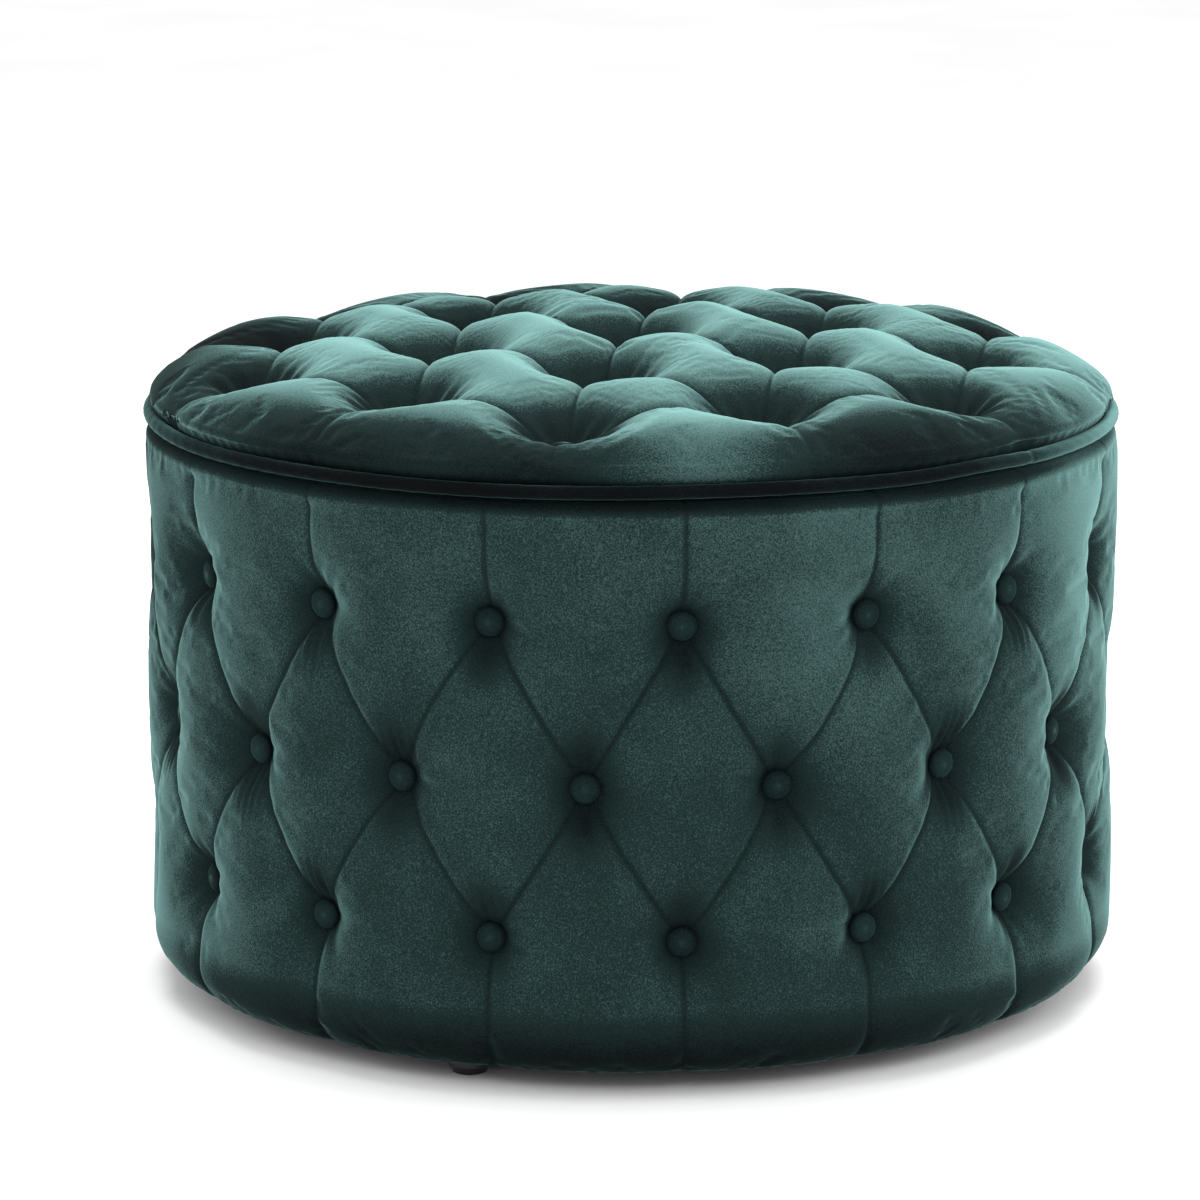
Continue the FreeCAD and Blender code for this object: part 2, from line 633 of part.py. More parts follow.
# ---------------------------------------------------------------- write every node
def build():
    os.makedirs("parts", exist_ok=True)
    # drum frame
    save("base_board", base_board())
    save("lower_posts", drilled_posts(BASE_TOP, MID_BOTTOM, BASE_BOTTOM, 1))
    save("mid_ring", tube(POST_INNER, BOARD_RADIUS, MID_BOTTOM, MID_TOP))
    save("upper_posts", drilled_posts(MID_TOP, RING_BOTTOM, RING_TOP, -1))
    save("top_ring", top_ring())
    save("outer_shell", outer_shell())
    save("inner_liner", tube(LINER_INSIDE, LINER_RADIUS, BASE_TOP, RING_BOTTOM))
    save("base_screws", [screw(post_middle(a, BASE_BOTTOM), UP, POST_SCREW_LENGTH) for a in post_angles()])
    save("top_ring_screws", [screw(post_middle(a, RING_TOP), -UP, POST_SCREW_LENGTH) for a in post_angles()])
    # drum padding
    save("side_foam", side_foam())
    save("side_wadding", side_wadding())
    save("side_cover", side_cover())
    save("side_buttons", side_buttons())
    save("side_button_ties", side_ties())
    save("side_tie_washers", side_washers())
    # drum lining and base
    save("floor_panel", disc(LINER_INSIDE - BOARD_CLEARANCE, BASE_TOP, BASE_TOP + FLOOR_PANEL_THICK))
    save("lining_floor", disc(LINER_INSIDE - BOARD_CLEARANCE, FLOOR_TOP - LINING, FLOOR_TOP))
    save("lining_wall", lining_wall())
    save("dust_cover", disc(DUST_COVER_RADIUS, COVER_BOTTOM - LINING, COVER_BOTTOM))
    save("base_staples", staple_ring(DUST_COVER_RADIUS - STAPLE_MARGIN, COVER_BOTTOM - LINING, 1, 5))
    top_staple_radius = TOP_COVER_EDGE - CLOTH_EDGE_GAP - STAPLE_MARGIN
    save("top_staples", staple_ring(top_staple_radius, RING_TOP + LINING, -1, 5))
    save("feet", [foot(a) for a in foot_angles()])
    save("foot_screws", [screw(place, UP, FOOT_SCREW_LENGTH) for place in foot_screw_places()])
    # lid
    save("lid_board", lid_board())
    save("lid_foam", lid_foam())
    save("lid_wadding", lid_wadding())
    save("lid_cover", lid_cover())
    save("lid_buttons", lid_buttons())
    save("lid_button_ties", lid_ties())
    save("lid_tie_washers", lid_washers())
    save("piping_cord", Part.makeTorus(PIPING_RING_RADIUS, PIPING_CORD_RADIUS, V(0, 0, PIPING_Z)))
    save("piping_cover", piping_cover())
    save("lid_lining", lid_lining())
    save("locating_ring", locating_ring())
    save("locating_ring_screws", [screw(p, UP, LOCATING_SCREW_LENGTH) for p in locating_screw_places()])
    save("lid_staples", staple_ring(LID_LINING_RADIUS - STAPLE_MARGIN, LID_LINING_BOTTOM, 1, 3))
    save("felt_pads", felt_pads())


build()
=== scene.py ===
# %% [markdown]
# # A round tufted storage ottoman
#
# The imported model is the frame: boards, shell, screws and feet at their real places, and two
# bodies, the drum that stands on the floor and the lid that lifts off it. Everything soft is
# made here: the buttoned velvet of the side and the lid, the piping, the covered buttons and
# the black cloth inside. Lengths are in metres, and the object stands on the floor at z = 0.

# %% Load the frame
import json
import bpy
import numpy as np
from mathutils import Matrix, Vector


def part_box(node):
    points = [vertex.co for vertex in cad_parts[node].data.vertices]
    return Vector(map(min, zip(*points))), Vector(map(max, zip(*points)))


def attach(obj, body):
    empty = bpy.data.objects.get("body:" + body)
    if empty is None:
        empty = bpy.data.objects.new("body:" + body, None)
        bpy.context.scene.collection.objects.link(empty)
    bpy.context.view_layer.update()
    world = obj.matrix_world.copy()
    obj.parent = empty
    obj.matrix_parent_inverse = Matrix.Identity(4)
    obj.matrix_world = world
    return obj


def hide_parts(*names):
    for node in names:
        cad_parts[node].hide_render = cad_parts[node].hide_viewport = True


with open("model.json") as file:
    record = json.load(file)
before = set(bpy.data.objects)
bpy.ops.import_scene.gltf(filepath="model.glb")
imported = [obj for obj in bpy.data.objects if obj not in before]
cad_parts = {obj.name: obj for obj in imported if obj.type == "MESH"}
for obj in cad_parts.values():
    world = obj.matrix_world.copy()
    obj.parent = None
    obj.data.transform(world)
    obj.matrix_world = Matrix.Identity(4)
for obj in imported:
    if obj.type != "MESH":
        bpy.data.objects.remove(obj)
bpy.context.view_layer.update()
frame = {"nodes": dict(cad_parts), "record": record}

MM = 0.001
nodes = frame["nodes"]

# %% [markdown]
# ## Sizes that the soft pieces share
#
# The padding is wrapped round the frame, so its sizes come from the frame's own boxes: the
# velvet's fullest radius from the side cover, the piping's ring from the piping, and the
# depth that the lid's buttons are pulled to from those buttons themselves.

# %% Sizes from the frame
def low(node):
    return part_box(node)[0]


def high(node):
    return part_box(node)[1]


PUFF = 1.5 * MM              # padded velvet beyond the plain CAD skin
CROWN_PUFF = 13 * MM         # the same at the crown of the lid
SKIN_GAP = 0.1 * MM          # air between the padding's back and the boards
PIPING_GAP = 0.5 * MM        # air between the piping and the velvet behind it
DIMPLE_DEPTH = 18 * MM       # plain side skin to the back of its buttons
LID_SWELL_RISE = 18 * MM     # lid's underside to its widest level
LID_BUTTON_MARGIN = 62 * MM  # outer lid buttons to the widest radius
TOP_ROW_DROP = 85.4 * MM
BOTTOM_ROW_RISE = 96.4 * MM
MIDDLE_ROW_SAG = 3 * MM      # middle row below half way between the others
SIDE_RADIUS = high("side_cover").x + PUFF
COVER_BOTTOM = low("side_cover").z
DRUM_TOP = high("side_cover").z
SHELL_RADIUS = high("outer_shell").x
BASE_BOTTOM = low("base_board").z
SHELL_BOTTOM = low("outer_shell").z
RING_TOP = high("top_ring").z
BOARD_RADIUS = high("base_board").x
VELVET = 1.6 * MM
BOTTOM_ROLL = 36 * MM
TOP_ROLL = 9 * MM
BOTTOM_TURN_IN = 52 * MM
TOP_TURN_IN = 20 * MM
PIPING_RADIUS = (high("piping_cover").z - low("piping_cover").z) / 2
PIPING_RING = high("piping_cover").x - PIPING_RADIUS
PIPING_Z = (high("piping_cover").z + low("piping_cover").z) / 2
LID_BOTTOM = low("lid_cover").z
LID_TOP = high("lid_cover").z
LID_BOARD_TOP = high("lid_board").z
LID_BOARD_RADIUS = high("lid_board").x
LID_BUTTON_BACK = low("lid_buttons").z
LID_SWELL_RADIUS = high("lid_cover").x
LID_SWELL_Z = LID_BOTTOM + LID_SWELL_RISE
LID_CROWN_Z = LID_TOP + CROWN_PUFF
LID_SEAM_RADIUS = PIPING_RING - PIPING_RADIUS - PIPING_GAP
LID_SPACING = (LID_SWELL_RADIUS - LID_BUTTON_MARGIN) / 2
LID_TURN = np.radians(9)
BUTTON_RADIUS = 10.3 * MM
BUTTON_THICK = high("lid_buttons").z - LID_BUTTON_BACK
BUTTON_SINK = DIMPLE_DEPTH + PUFF
TOP_ROW = DRUM_TOP - TOP_ROW_DROP
BOTTOM_ROW = COVER_BOTTOM + BOTTOM_ROW_RISE
ROWS = (TOP_ROW, (TOP_ROW + BOTTOM_ROW) / 2 - MIDDLE_ROW_SAG, BOTTOM_ROW)
COLUMNS = 16
FIRST_COLUMN = np.radians(6)
COLUMN_STEP = 2 * np.pi / COLUMNS
print("drum radius", round(SIDE_RADIUS, 4), "lid top", round(LID_TOP, 4))
print("piping at", round(PIPING_Z, 4), "rows of buttons at", [round(row, 3) for row in ROWS])

# %% [markdown]
# ## Camera, light and floor
#
# The ottoman is seen from a little above the lid through a long lens, so its ellipses are
# flat and its sides stay nearly upright. The light is one large softbox overhead with weaker
# ones beside it, because velvet shows its shape by how it catches light at a slant.

# %% Camera
CAMERA_RADII = 12
CAMERA_DISTANCE = CAMERA_RADII * high("side_cover").x
CAMERA_HEIGHT_ANGLE = np.radians(9.85)
LOOK_DOWN = np.radians(11.79)
LOOK_LEFT = np.radians(0.31)
SENSOR_MM = 36
LENS_MM = 173.3
camera_data = bpy.data.cameras.new("camera")
camera_data.sensor_width = SENSOR_MM
camera_data.lens = LENS_MM
camera = bpy.data.objects.new("camera", camera_data)
bpy.context.scene.collection.objects.link(camera)
camera.location = (0, -CAMERA_DISTANCE * np.cos(CAMERA_HEIGHT_ANGLE),
                   PIPING_Z + CAMERA_DISTANCE * np.sin(CAMERA_HEIGHT_ANGLE))
forward = Vector((-np.sin(LOOK_LEFT) * np.cos(LOOK_DOWN),
                  np.cos(LOOK_LEFT) * np.cos(LOOK_DOWN),
                  -np.sin(LOOK_DOWN)))
camera.rotation_euler = forward.to_track_quat("-Z", "Y").to_euler()
bpy.context.scene.camera = camera
print("camera at", [round(x, 3) for x in camera.location])


# %% Lights and floor
def softbox(name, place, aim, size, power):
    """A rectangular area light at a place, turned to face a point; sizes in metres, power in watts."""
    data = bpy.data.lights.new(name, "AREA")
    data.shape = "RECTANGLE"
    data.size, data.size_y = size
    data.energy = power
    lamp = bpy.data.objects.new(name, data)
    bpy.context.scene.collection.objects.link(lamp)
    lamp.location = place
    lamp.rotation_euler = (Vector(aim) - Vector(place)).to_track_quat("-Z", "Y").to_euler()


softbox("overhead_light", (0, 0.5, 2.4), (0, 0.1, 0.4), (2.4, 1.6), 60)
softbox("left_light", (-2.4, -0.9, 1.5), (0, 0, 0.25), (1.2, 1.8), 10)
softbox("right_light", (2.4, -0.5, 1.3), (0, 0, 0.25), (1.0, 1.6), 22)
softbox("front_light", (0.4, -3.4, 2.6), (0, 0, 0.3), (2.0, 1.2), 30)
world = bpy.data.worlds.new("pale_room")
bpy.context.scene.world = world
world.use_nodes = True
world.node_tree.nodes["Background"].inputs["Color"].default_value = (1, 1, 1, 1)
world.node_tree.nodes["Background"].inputs["Strength"].default_value = 1.0
bpy.context.scene.view_settings.view_transform = "Standard"
FLOOR_HALF = 12
floor_mesh = bpy.data.meshes.new("floor")
corner_signs = ((-1, -1), (1, -1), (1, 1), (-1, 1))
floor_mesh.from_pydata([(x * FLOOR_HALF, y * FLOOR_HALF, 0) for x, y in corner_signs], [], [(0, 1, 2, 3)])
floor = bpy.data.objects.new("floor", floor_mesh)
bpy.context.scene.collection.objects.link(floor)

# %% [markdown]
# ## A grid that closes on itself
#
# Every soft piece here is a surface over two parameters: one runs round the ottoman, the
# other along a cross-section. A cross-section that ends where it began gives a closed ring;
# one that starts and ends on the axis gives a closed lid, with one vertex at each pole.

# %% Grid to mesh
def grid_piece(name, points, closed_section, capped=True):
    """Mesh from points[section, round, 3], with a quad between each four neighbours.

    Rows wrap round. The section wraps too, or ends in two poles, or with capped False stays open.
    """
    rows, around = points.shape[:2]
    i = np.arange(rows if closed_section else rows - 1)[:, None]
    j = np.arange(around)[None, :]
    next_i = (i + 1) % rows
    next_j = (j + 1) % around
    quads = np.stack([i * around + j, i * around + next_j, next_i * around + next_j, next_i * around + j], -1)
    loops = [quads.reshape(-1)]
    sizes = [np.full(quads[..., 0].size, 4)]
    verts = points.reshape(-1, 3)
    if capped and not closed_section:
        first_pole, last_pole = len(verts), len(verts) + 1
        verts = np.concatenate([verts, points[0].mean(0)[None], points[-1].mean(0)[None]])
        ring = np.arange(around)
        next_ring = (ring + 1) % around
        last = (rows - 1) * around
        for cap in ([np.full(around, first_pole), next_ring, ring],
                    [np.full(around, last_pole), last + ring, last + next_ring]):
            loops.append(np.stack(cap, -1).reshape(-1))
            sizes.append(np.full(around, 3))
    mesh = bpy.data.meshes.new(name)
    loops = np.concatenate(loops).astype(np.int32)
    sizes = np.concatenate(sizes)
    starts = np.concatenate([[0], np.cumsum(sizes)[:-1]]).astype(np.int32)
    mesh.vertices.add(len(verts))
    mesh.vertices.foreach_set("co", verts.astype(np.float32).ravel())
    mesh.loops.add(len(loops))
    mesh.loops.foreach_set("vertex_index", loops)
    mesh.polygons.add(len(sizes))
    mesh.polygons.foreach_set("loop_start", starts)
    mesh.polygons.foreach_set("use_smooth", np.ones(len(sizes), bool))
    mesh.update(calc_edges=True)
    mesh.validate()
    piece = bpy.data.objects.new(name, mesh)
    bpy.context.scene.collection.objects.link(piece)
    print(name, len(verts), "points", len(sizes), "faces")
    return piece


def set_value(piece, name, grid):
    """Store one number a point for the velvet: painted light and shade (-1 dark to 1 pale) or fold_shade,
    painted shade (0 to 1).
    """
    values = np.concatenate([grid.ravel(), np.zeros(len(piece.data.vertices) - grid.size)])
    layer = piece.data.attributes.new(name, "FLOAT", "POINT")
    layer.data.foreach_set("value", values.astype(np.float32))


def angle_patches(angle, patches):
    """Sum over patches (centre, half width, strength) of strength * exp(-(angle off / half width)^2).

    Angles in the patches are degrees from the front, towards +X.
    """
    total = np.zeros_like(angle)
    for centre, half_width, strength in patches:
        off = (np.degrees(angle) - centre + 180) % 360 - 180
        total += strength * np.exp(-(off / half_width) ** 2)
    return total


def path_points(corners, steps):
    """Even samples along straight runs; corners[k] to corners[k+1] is divided into steps[k] parts."""
    parts = []
    for start, end, count in zip(corners[:-1], corners[1:], steps):
        share = np.arange(count)[:, None] / count
        parts.append(np.array(start) + share * (np.array(end) - np.array(start)))
    return np.concatenate(parts)


def arc_points(centre, radius, first, last, count):
    """Samples on an arc, angles in degrees from outward towards up; the last angle isn't included."""
    turn = np.radians(first + (last - first) * np.arange(count) / count)
    return np.stack([centre[0] + radius * np.cos(turn), centre[1] + radius * np.sin(turn)], -1)


def rising(value, start, width):
    """0 below start, 1 beyond start + width, and a straight line between them."""
    return np.clip((value - start) / width, 0, 1)


print("a quarter circle in 3 steps", arc_points((0, 0), 1, 0, 90, 3).round(2).tolist())

# %% [markdown]
# ## How tufting bends the cloth
#
# Each button ties the velvet down to the frame, and the spare cloth between two buttons is
# folded into a pleat. Between pleats the padding pushes the cloth up into pillows. One pleat
# is a share of the full depth: all of it at a button, less than half midway. Across a pleat the
# share falls off quickly near the fold and slowly beyond. What is left of the pillow's height
# is the product of (1 - share) over all pleats, which joins neighbours without a ridge.

# %% Pleats and dimples
rng = np.random.default_rng(7)
LINE_WIDTH = 1.5 * MM
FULL_TURN = 6.3              # a whole turn in radians, near enough for a random phase
FOLD_SPREAD = (0.8, 1.2)     # no two pleats are pulled equally tight
BROAD_POWER = 1.6
SLOPE_POWER = 1.3


def fold_shape(distance, sharp, broad, crisp):
    """crisp * exp(-distance / sharp) + (1 - crisp) * exp(-(distance / broad)^1.6): 1 on the fold."""
    return crisp * np.exp(-distance / sharp) + (1 - crisp) * np.exp(-(distance / broad) ** BROAD_POWER)


def pleat(x, y, start, end, start_share, end_share, middle, reach, sharp, broad, crisp, bow=0.0):
    """What one pleat leaves of the height at points (x, y): 1 - share * fold_shape(distance).

    The share is start_share and end_share at the two ends, and decays towards middle over reach.
    The fold bows sideways by bow * sin(pi * s / length), since no seamstress lays it quite straight.
    The second result is the fold line, painted shade along the fold: exp(-(distance / line width)^2).
    """
    along = np.array(end) - np.array(start)
    length = np.hypot(*along)
    way = along / length
    ahead = (x - start[0]) * way[0] + (y - start[1]) * way[1]
    s = np.clip(ahead, 0, length)
    across = (y - start[1]) * way[0] - (x - start[0]) * way[1] - bow * np.sin(np.pi * s / length)
    distance = np.hypot(across, ahead - s)
    share = middle + (start_share - middle) * np.exp(-s / reach)
    share = share + (end_share - middle) * np.exp(-(length - s) / reach)
    share = np.clip(share, 0, 1)
    line = (0.35 + share) * np.exp(-(distance / LINE_WIDTH) ** 2)
    return 1 - share * fold_shape(distance, sharp, broad, crisp), line


def button_left(x, y, centre, seat, slope):
    """What a button leaves of the height: 1 - exp(-((distance - seat) / slope)^1.3), 0 in its seat."""
    distance = np.hypot(x - centre[0], y - centre[1])
    return 1 - np.exp(-(np.maximum(distance - seat, 0) / slope) ** SLOPE_POWER)


def gathers(x, y, centre, phase, near, width, count):
    """Small folds that fan out from a button: a cosine of the angle inside a ring round it."""
    distance = np.hypot(x - centre[0], y - centre[1])
    turn = np.arctan2(y - centre[1], x - centre[0])
    wave = np.cos(count * turn + 1.6 * np.sin(2 * turn + phase) + phase)
    return wave * np.exp(-((distance - near) / width) ** 2)


def random_phase():
    return rng.uniform(0, FULL_TURN)


fold_sample = fold_shape(np.array([0, 5, 20]) * MM, sharp=3.2 * MM, broad=24 * MM, crisp=0.55)
print("a fold's share at 0, 5 and 20 mm from it", fold_sample.round(2).tolist())

# %% [markdown]
# ## Letting the cloth settle
#
# The pleats are laid by the formulas, and Blender's Cloth does the rest on a copy with fewer
# points. The buttons, fold lines and edges are held, and the padding presses outward. The cloth
# between them is a little larger than its space, so it finds its own small hollows and wrinkles.
# The movement is capped, and then carried back to the fine grid.

# %% Cloth simulation
SETTLE_FRAMES = 20
SETTLE_CAP = 3 * MM
PADDING_PRESSURE = 4.0
SPARE_CLOTH = -0.006         # a negative shrink makes the cloth this share larger
HOLD_STEPS = (0.25, 0.5, 0.75, 1.0)


def spread(coarse, shape, every):
    """Bilinear: values on every n-th row and column, carried to all; columns wrap round."""
    row = np.minimum(np.arange(shape[0]) / every, coarse.shape[0] - 1)
    column = np.arange(shape[1]) / every
    low_row, low_column = row.astype(int), column.astype(int)
    high_row = np.minimum(low_row + 1, coarse.shape[0] - 1)
    high_column = (low_column + 1) % coarse.shape[1]
    up = (row - low_row)[:, None, None]
    over = (column - low_column)[None, :, None]
    lower = coarse[low_row][:, low_column] * (1 - over) + coarse[low_row][:, high_column] * over
    upper = coarse[high_row][:, low_column] * (1 - over) + coarse[high_row][:, high_column] * over
    return lower * (1 - up) + upper * up


def settle(name, points, held, every):
    """How far each point of an open grid moves when the cloth settles; held is 1 where it can't.

    The length of each move becomes cap * tanh(length / cap), so it never passes the cap.
    """
    rows = points[::every, ::every]
    fixed = held[::every, ::every]
    copy = grid_piece(name, rows, closed_section=False, capped=False)
    group = copy.vertex_groups.new(name="held")
    for weight in HOLD_STEPS:
        near = np.flatnonzero(np.abs(fixed.ravel() - weight) <= HOLD_STEPS[0] / 2)
        group.add(near.tolist(), weight, "REPLACE")
    cloth = copy.modifiers.new("cloth", "CLOTH")
    cloth.settings.quality = 3
    cloth.settings.mass = 0.3
    cloth.settings.tension_stiffness = 15
    cloth.settings.compression_stiffness = 15
    cloth.settings.bending_stiffness = 0.05
    cloth.settings.vertex_group_mass = "held"
    cloth.settings.use_pressure = True
    cloth.settings.uniform_pressure_force = PADDING_PRESSURE
    cloth.settings.shrink_min = SPARE_CLOTH
    cloth.settings.effector_weights.gravity = 0
    cloth.point_cache.frame_start = 1
    cloth.point_cache.frame_end = SETTLE_FRAMES
    for frame_number in range(1, SETTLE_FRAMES + 1):
        bpy.context.scene.frame_set(frame_number)
    settled = copy.evaluated_get(bpy.context.evaluated_depsgraph_get()).data
    moved = np.empty(len(settled.vertices) * 3, np.float32)
    settled.vertices.foreach_get("co", moved)
    shift = moved.reshape(rows.shape) - rows
    bpy.data.objects.remove(copy)
    bpy.context.scene.frame_set(1)
    size = np.linalg.norm(shift, axis=-1, keepdims=True)
    shift = shift * (SETTLE_CAP * np.tanh(size / SETTLE_CAP) / np.maximum(size, 1e-9))
    print(name, rows.shape[:2], "moved, before the cap, up to", round(float(size.max()) / MM, 1),
          "mm, on average", round(float(size.mean()) / MM, 2))
    return spread(shift, points.shape[:2], every)


print("cloth settles over", SETTLE_FRAMES, "frames and moves", SETTLE_CAP / MM, "mm at most")


# %% [markdown]
# ## The side: three rows of buttons on a drum
#
# The cross-section starts under the base, rolls up round the bottom edge, climbs the side,
# turns in over the top ring and comes back down behind, against the shell. On the unrolled
# side the buttons stand in staggered rows. Diagonal pleats join them into diamonds, and
# straight pleats run on from the outer rows, up to the lid and down under the base.

# %% Side cross-section
SIDE_AROUND = COLUMNS * 80
SIDE_SHADE = 0.65
STEP = 1.7 * MM
UNDER_STEPS = 18
ROLL_STEPS = 30
EDGE_STEPS = 8
TOP_STEPS = 12
BACK_GAP = 0.4 * MM
BASE_BEVEL = 6 * MM
roll_centre = (SIDE_RADIUS - BOTTOM_ROLL, COVER_BOTTOM + BOTTOM_ROLL)
top_centre = (SIDE_RADIUS - TOP_ROLL, DRUM_TOP - TOP_ROLL)
bottom_edge = SIDE_RADIUS - BOTTOM_ROLL - BOTTOM_TURN_IN
top_edge = BOARD_RADIUS - TOP_TURN_IN
climb = int((top_centre[1] - roll_centre[1]) / STEP)
outer = np.concatenate([
    path_points([(bottom_edge, COVER_BOTTOM), (roll_centre[0], COVER_BOTTOM)], [UNDER_STEPS]),
    arc_points(roll_centre, BOTTOM_ROLL, -90, 0, ROLL_STEPS),
    path_points([(SIDE_RADIUS, roll_centre[1]), (SIDE_RADIUS, top_centre[1])], [climb]),
    arc_points(top_centre, TOP_ROLL, 0, 90, EDGE_STEPS),
    path_points([(top_centre[0], DRUM_TOP), (top_edge, DRUM_TOP)], [TOP_STEPS]),
])
back = np.array([
    (top_edge, DRUM_TOP),
    (top_edge, RING_TOP + SKIN_GAP),
    (SHELL_RADIUS + BACK_GAP, RING_TOP + SKIN_GAP),
    (SHELL_RADIUS + BACK_GAP, SHELL_BOTTOM - BACK_GAP),
    (BOARD_RADIUS + BACK_GAP, SHELL_BOTTOM - BACK_GAP),
    (BOARD_RADIUS - BASE_BEVEL, BASE_BOTTOM - SKIN_GAP),
    (bottom_edge, BASE_BOTTOM - SKIN_GAP),
])
section = np.concatenate([outer, back])
side_way = np.roll(outer, -1, 0) - np.roll(outer, 1, 0)
side_way[0] = outer[1] - outer[0]
side_way[-1] = outer[-1] - outer[-2]
side_normal = np.stack([side_way[:, 1], -side_way[:, 0]], -1) / np.linalg.norm(side_way, axis=1)[:, None]
run = np.concatenate([[0], np.cumsum(np.linalg.norm(np.diff(outer, axis=0), axis=1))])
upright = slice(UNDER_STEPS + ROLL_STEPS, UNDER_STEPS + ROLL_STEPS + climb)
run = run - np.interp(roll_centre[1], outer[upright, 1], run[upright]) + roll_centre[1]
print("cross-section", len(section), "points,", round(run[-1] - run[0], 3), "m of cloth")


# %% Side pleats
def side_buttons():
    """(row, angle, height) of the buttons; the middle row stands half a column over."""
    places = []
    for row, height in enumerate(ROWS):
        over = 0.5 if row == 1 else 0
        for column in range(COLUMNS):
            places.append((row, FIRST_COLUMN + (column + over) * COLUMN_STEP, height))
    return places


around = np.linspace(0, 2 * np.pi, SIDE_AROUND, endpoint=False)
height_run = run[:, None]
whole = 2 * np.pi * SIDE_RADIUS
left = np.ones((len(outer), SIDE_AROUND))
ripple = np.zeros_like(left)
lines = np.zeros_like(left)
hollow_shade = np.zeros_like(left)
SIDE_FOLD = dict(middle=0.24, reach=17 * MM, sharp=3.2 * MM, broad=24 * MM, crisp=0.55)
END_FOLD_BROAD = 22 * MM
SIDE_SEAT = 9.5 * MM
SIDE_SLOPE = 9 * MM
SIDE_BOW = 2 * MM
END_BOW = 1.5 * MM
END_SPREAD = (0.9, 1.1)
GATHER_AT = 24 * MM
GATHER_WIDE = 11 * MM
GATHER_COUNT = 9
PLEAT_SPAN = 0.17
BUTTON_SPAN = 0.09
HOLLOW_OFF = 22 * MM
HOLLOW_WIDE = 13 * MM
HOLLOW_TALL = 17 * MM
PUCKER_PITCH = 7.5 * MM
PUCKER_SHARE = 0.45
HOLLOWS_OF_ROW = ((-1,), (1, -1), (1,))


def loose_share(remains, fold_lines):
    """1 where the cloth may move, falling to 0 in a button's seat and along a fold line."""
    return np.clip(remains * 1.15 - 0.1, 0, 1) * (1 - np.clip(fold_lines * 1.6, 0, 1))


def near_columns(angle, half_width):
    """Column numbers of the grid near an angle, and their arc lengths measured from it."""
    middle = int(round(angle / (2 * np.pi) * SIDE_AROUND))
    reach = int(half_width / whole * SIDE_AROUND)
    columns = np.arange(middle - reach, middle + reach + 1)
    return columns % SIDE_AROUND, columns[None, :] * (whole / SIDE_AROUND) - angle * SIDE_RADIUS


def side_pleat(angle, start, end, **fold):
    """Lay one pleat into the arrays of what is left and of fold lines, near its own columns only."""
    columns, offset = near_columns(angle, PLEAT_SPAN)
    remains, line = pleat(offset, height_run, start, end, **fold)
    left[:, columns] *= remains
    lines[:, columns] = np.maximum(lines[:, columns], line)


half_column = COLUMN_STEP * SIDE_RADIUS / 2
END_PLEATS = {0: (0.2, run[-1], 0.2), 2: (0.22, run[0], 0.12)}
for row, angle, height in side_buttons():
    columns, offset = near_columns(angle, BUTTON_SPAN)
    left[:, columns] *= button_left(offset, height_run, (0, height), SIDE_SEAT, SIDE_SLOPE)
    ripple[:, columns] += gathers(
        offset, height_run, (0, height), random_phase(), GATHER_AT, GATHER_WIDE, GATHER_COUNT)
    for upward in HOLLOWS_OF_ROW[row]:
        off_middle = ((height_run - height) * upward - HOLLOW_OFF) / HOLLOW_TALL
        hollow = np.exp(-(offset / HOLLOW_WIDE) ** 2 - off_middle ** 2)
        # Painted shade in the hollow above or below the button; the puckers below use the same hollow.
        hollow_shade[:, columns] = np.maximum(hollow_shade[:, columns], hollow * rng.uniform(0.45, 1.0))
        if rng.random() < PUCKER_SHARE:
            ripple[:, columns] += 1.2 * hollow * np.cos(2 * np.pi * offset / PUCKER_PITCH + random_phase())
    tightness = rng.uniform(*END_SPREAD)
    if row == 1:
        for side in (-1, 1):
            for other in (0, 2):
                end = (side * half_column, ROWS[other])
                middle = SIDE_FOLD["middle"] * rng.uniform(*FOLD_SPREAD)
                fold = dict(SIDE_FOLD, middle=middle, bow=rng.normal(0, SIDE_BOW))
                side_pleat(angle, (0, height), end, start_share=0.8, end_share=0.8, **fold)
    else:
        middle, end_run, end_share = END_PLEATS[row]
        fold = dict(SIDE_FOLD, middle=middle * tightness, broad=END_FOLD_BROAD,
                    bow=rng.normal(0, END_BOW))
        side_pleat(angle, (0, height), (0, end_run), start_share=0.85, end_share=end_share, **fold)
print("side buttons", len(side_buttons()), "least height left", round(float(left.min()), 3))


# %% Side surface
RIPPLE_DEPTH = 0.7 * MM
pull = BUTTON_SINK * (1 - left) - RIPPLE_DEPTH * ripple
fade_in = np.clip((run - run[UNDER_STEPS]) / (30 * MM) + 0.1, 0, 1)
fade_out = np.clip((run[-EDGE_STEPS - TOP_STEPS] - run) / (6 * MM), 0, 1)
side_fade = (fade_in * fade_out)[:, None]
pull *= side_fade
radius = outer[:, :1] - side_normal[:, :1] * pull
level = outer[:, 1:] - side_normal[:, 1:] * pull
back_radius = np.repeat(back[:, :1], SIDE_AROUND, 1)
back_level = np.repeat(back[:, 1:], SIDE_AROUND, 1)
radius = np.concatenate([radius, back_radius])
level = np.concatenate([level, back_level])
points = np.stack([radius * np.sin(around), -radius * np.cos(around), level], -1)
free = loose_share(left, lines) * side_fade
points[:len(outer)] += settle("side_cloth", points[:len(outer)], 1 - free, 4)
side_cover = grid_piece("side_padding", points, closed_section=True)
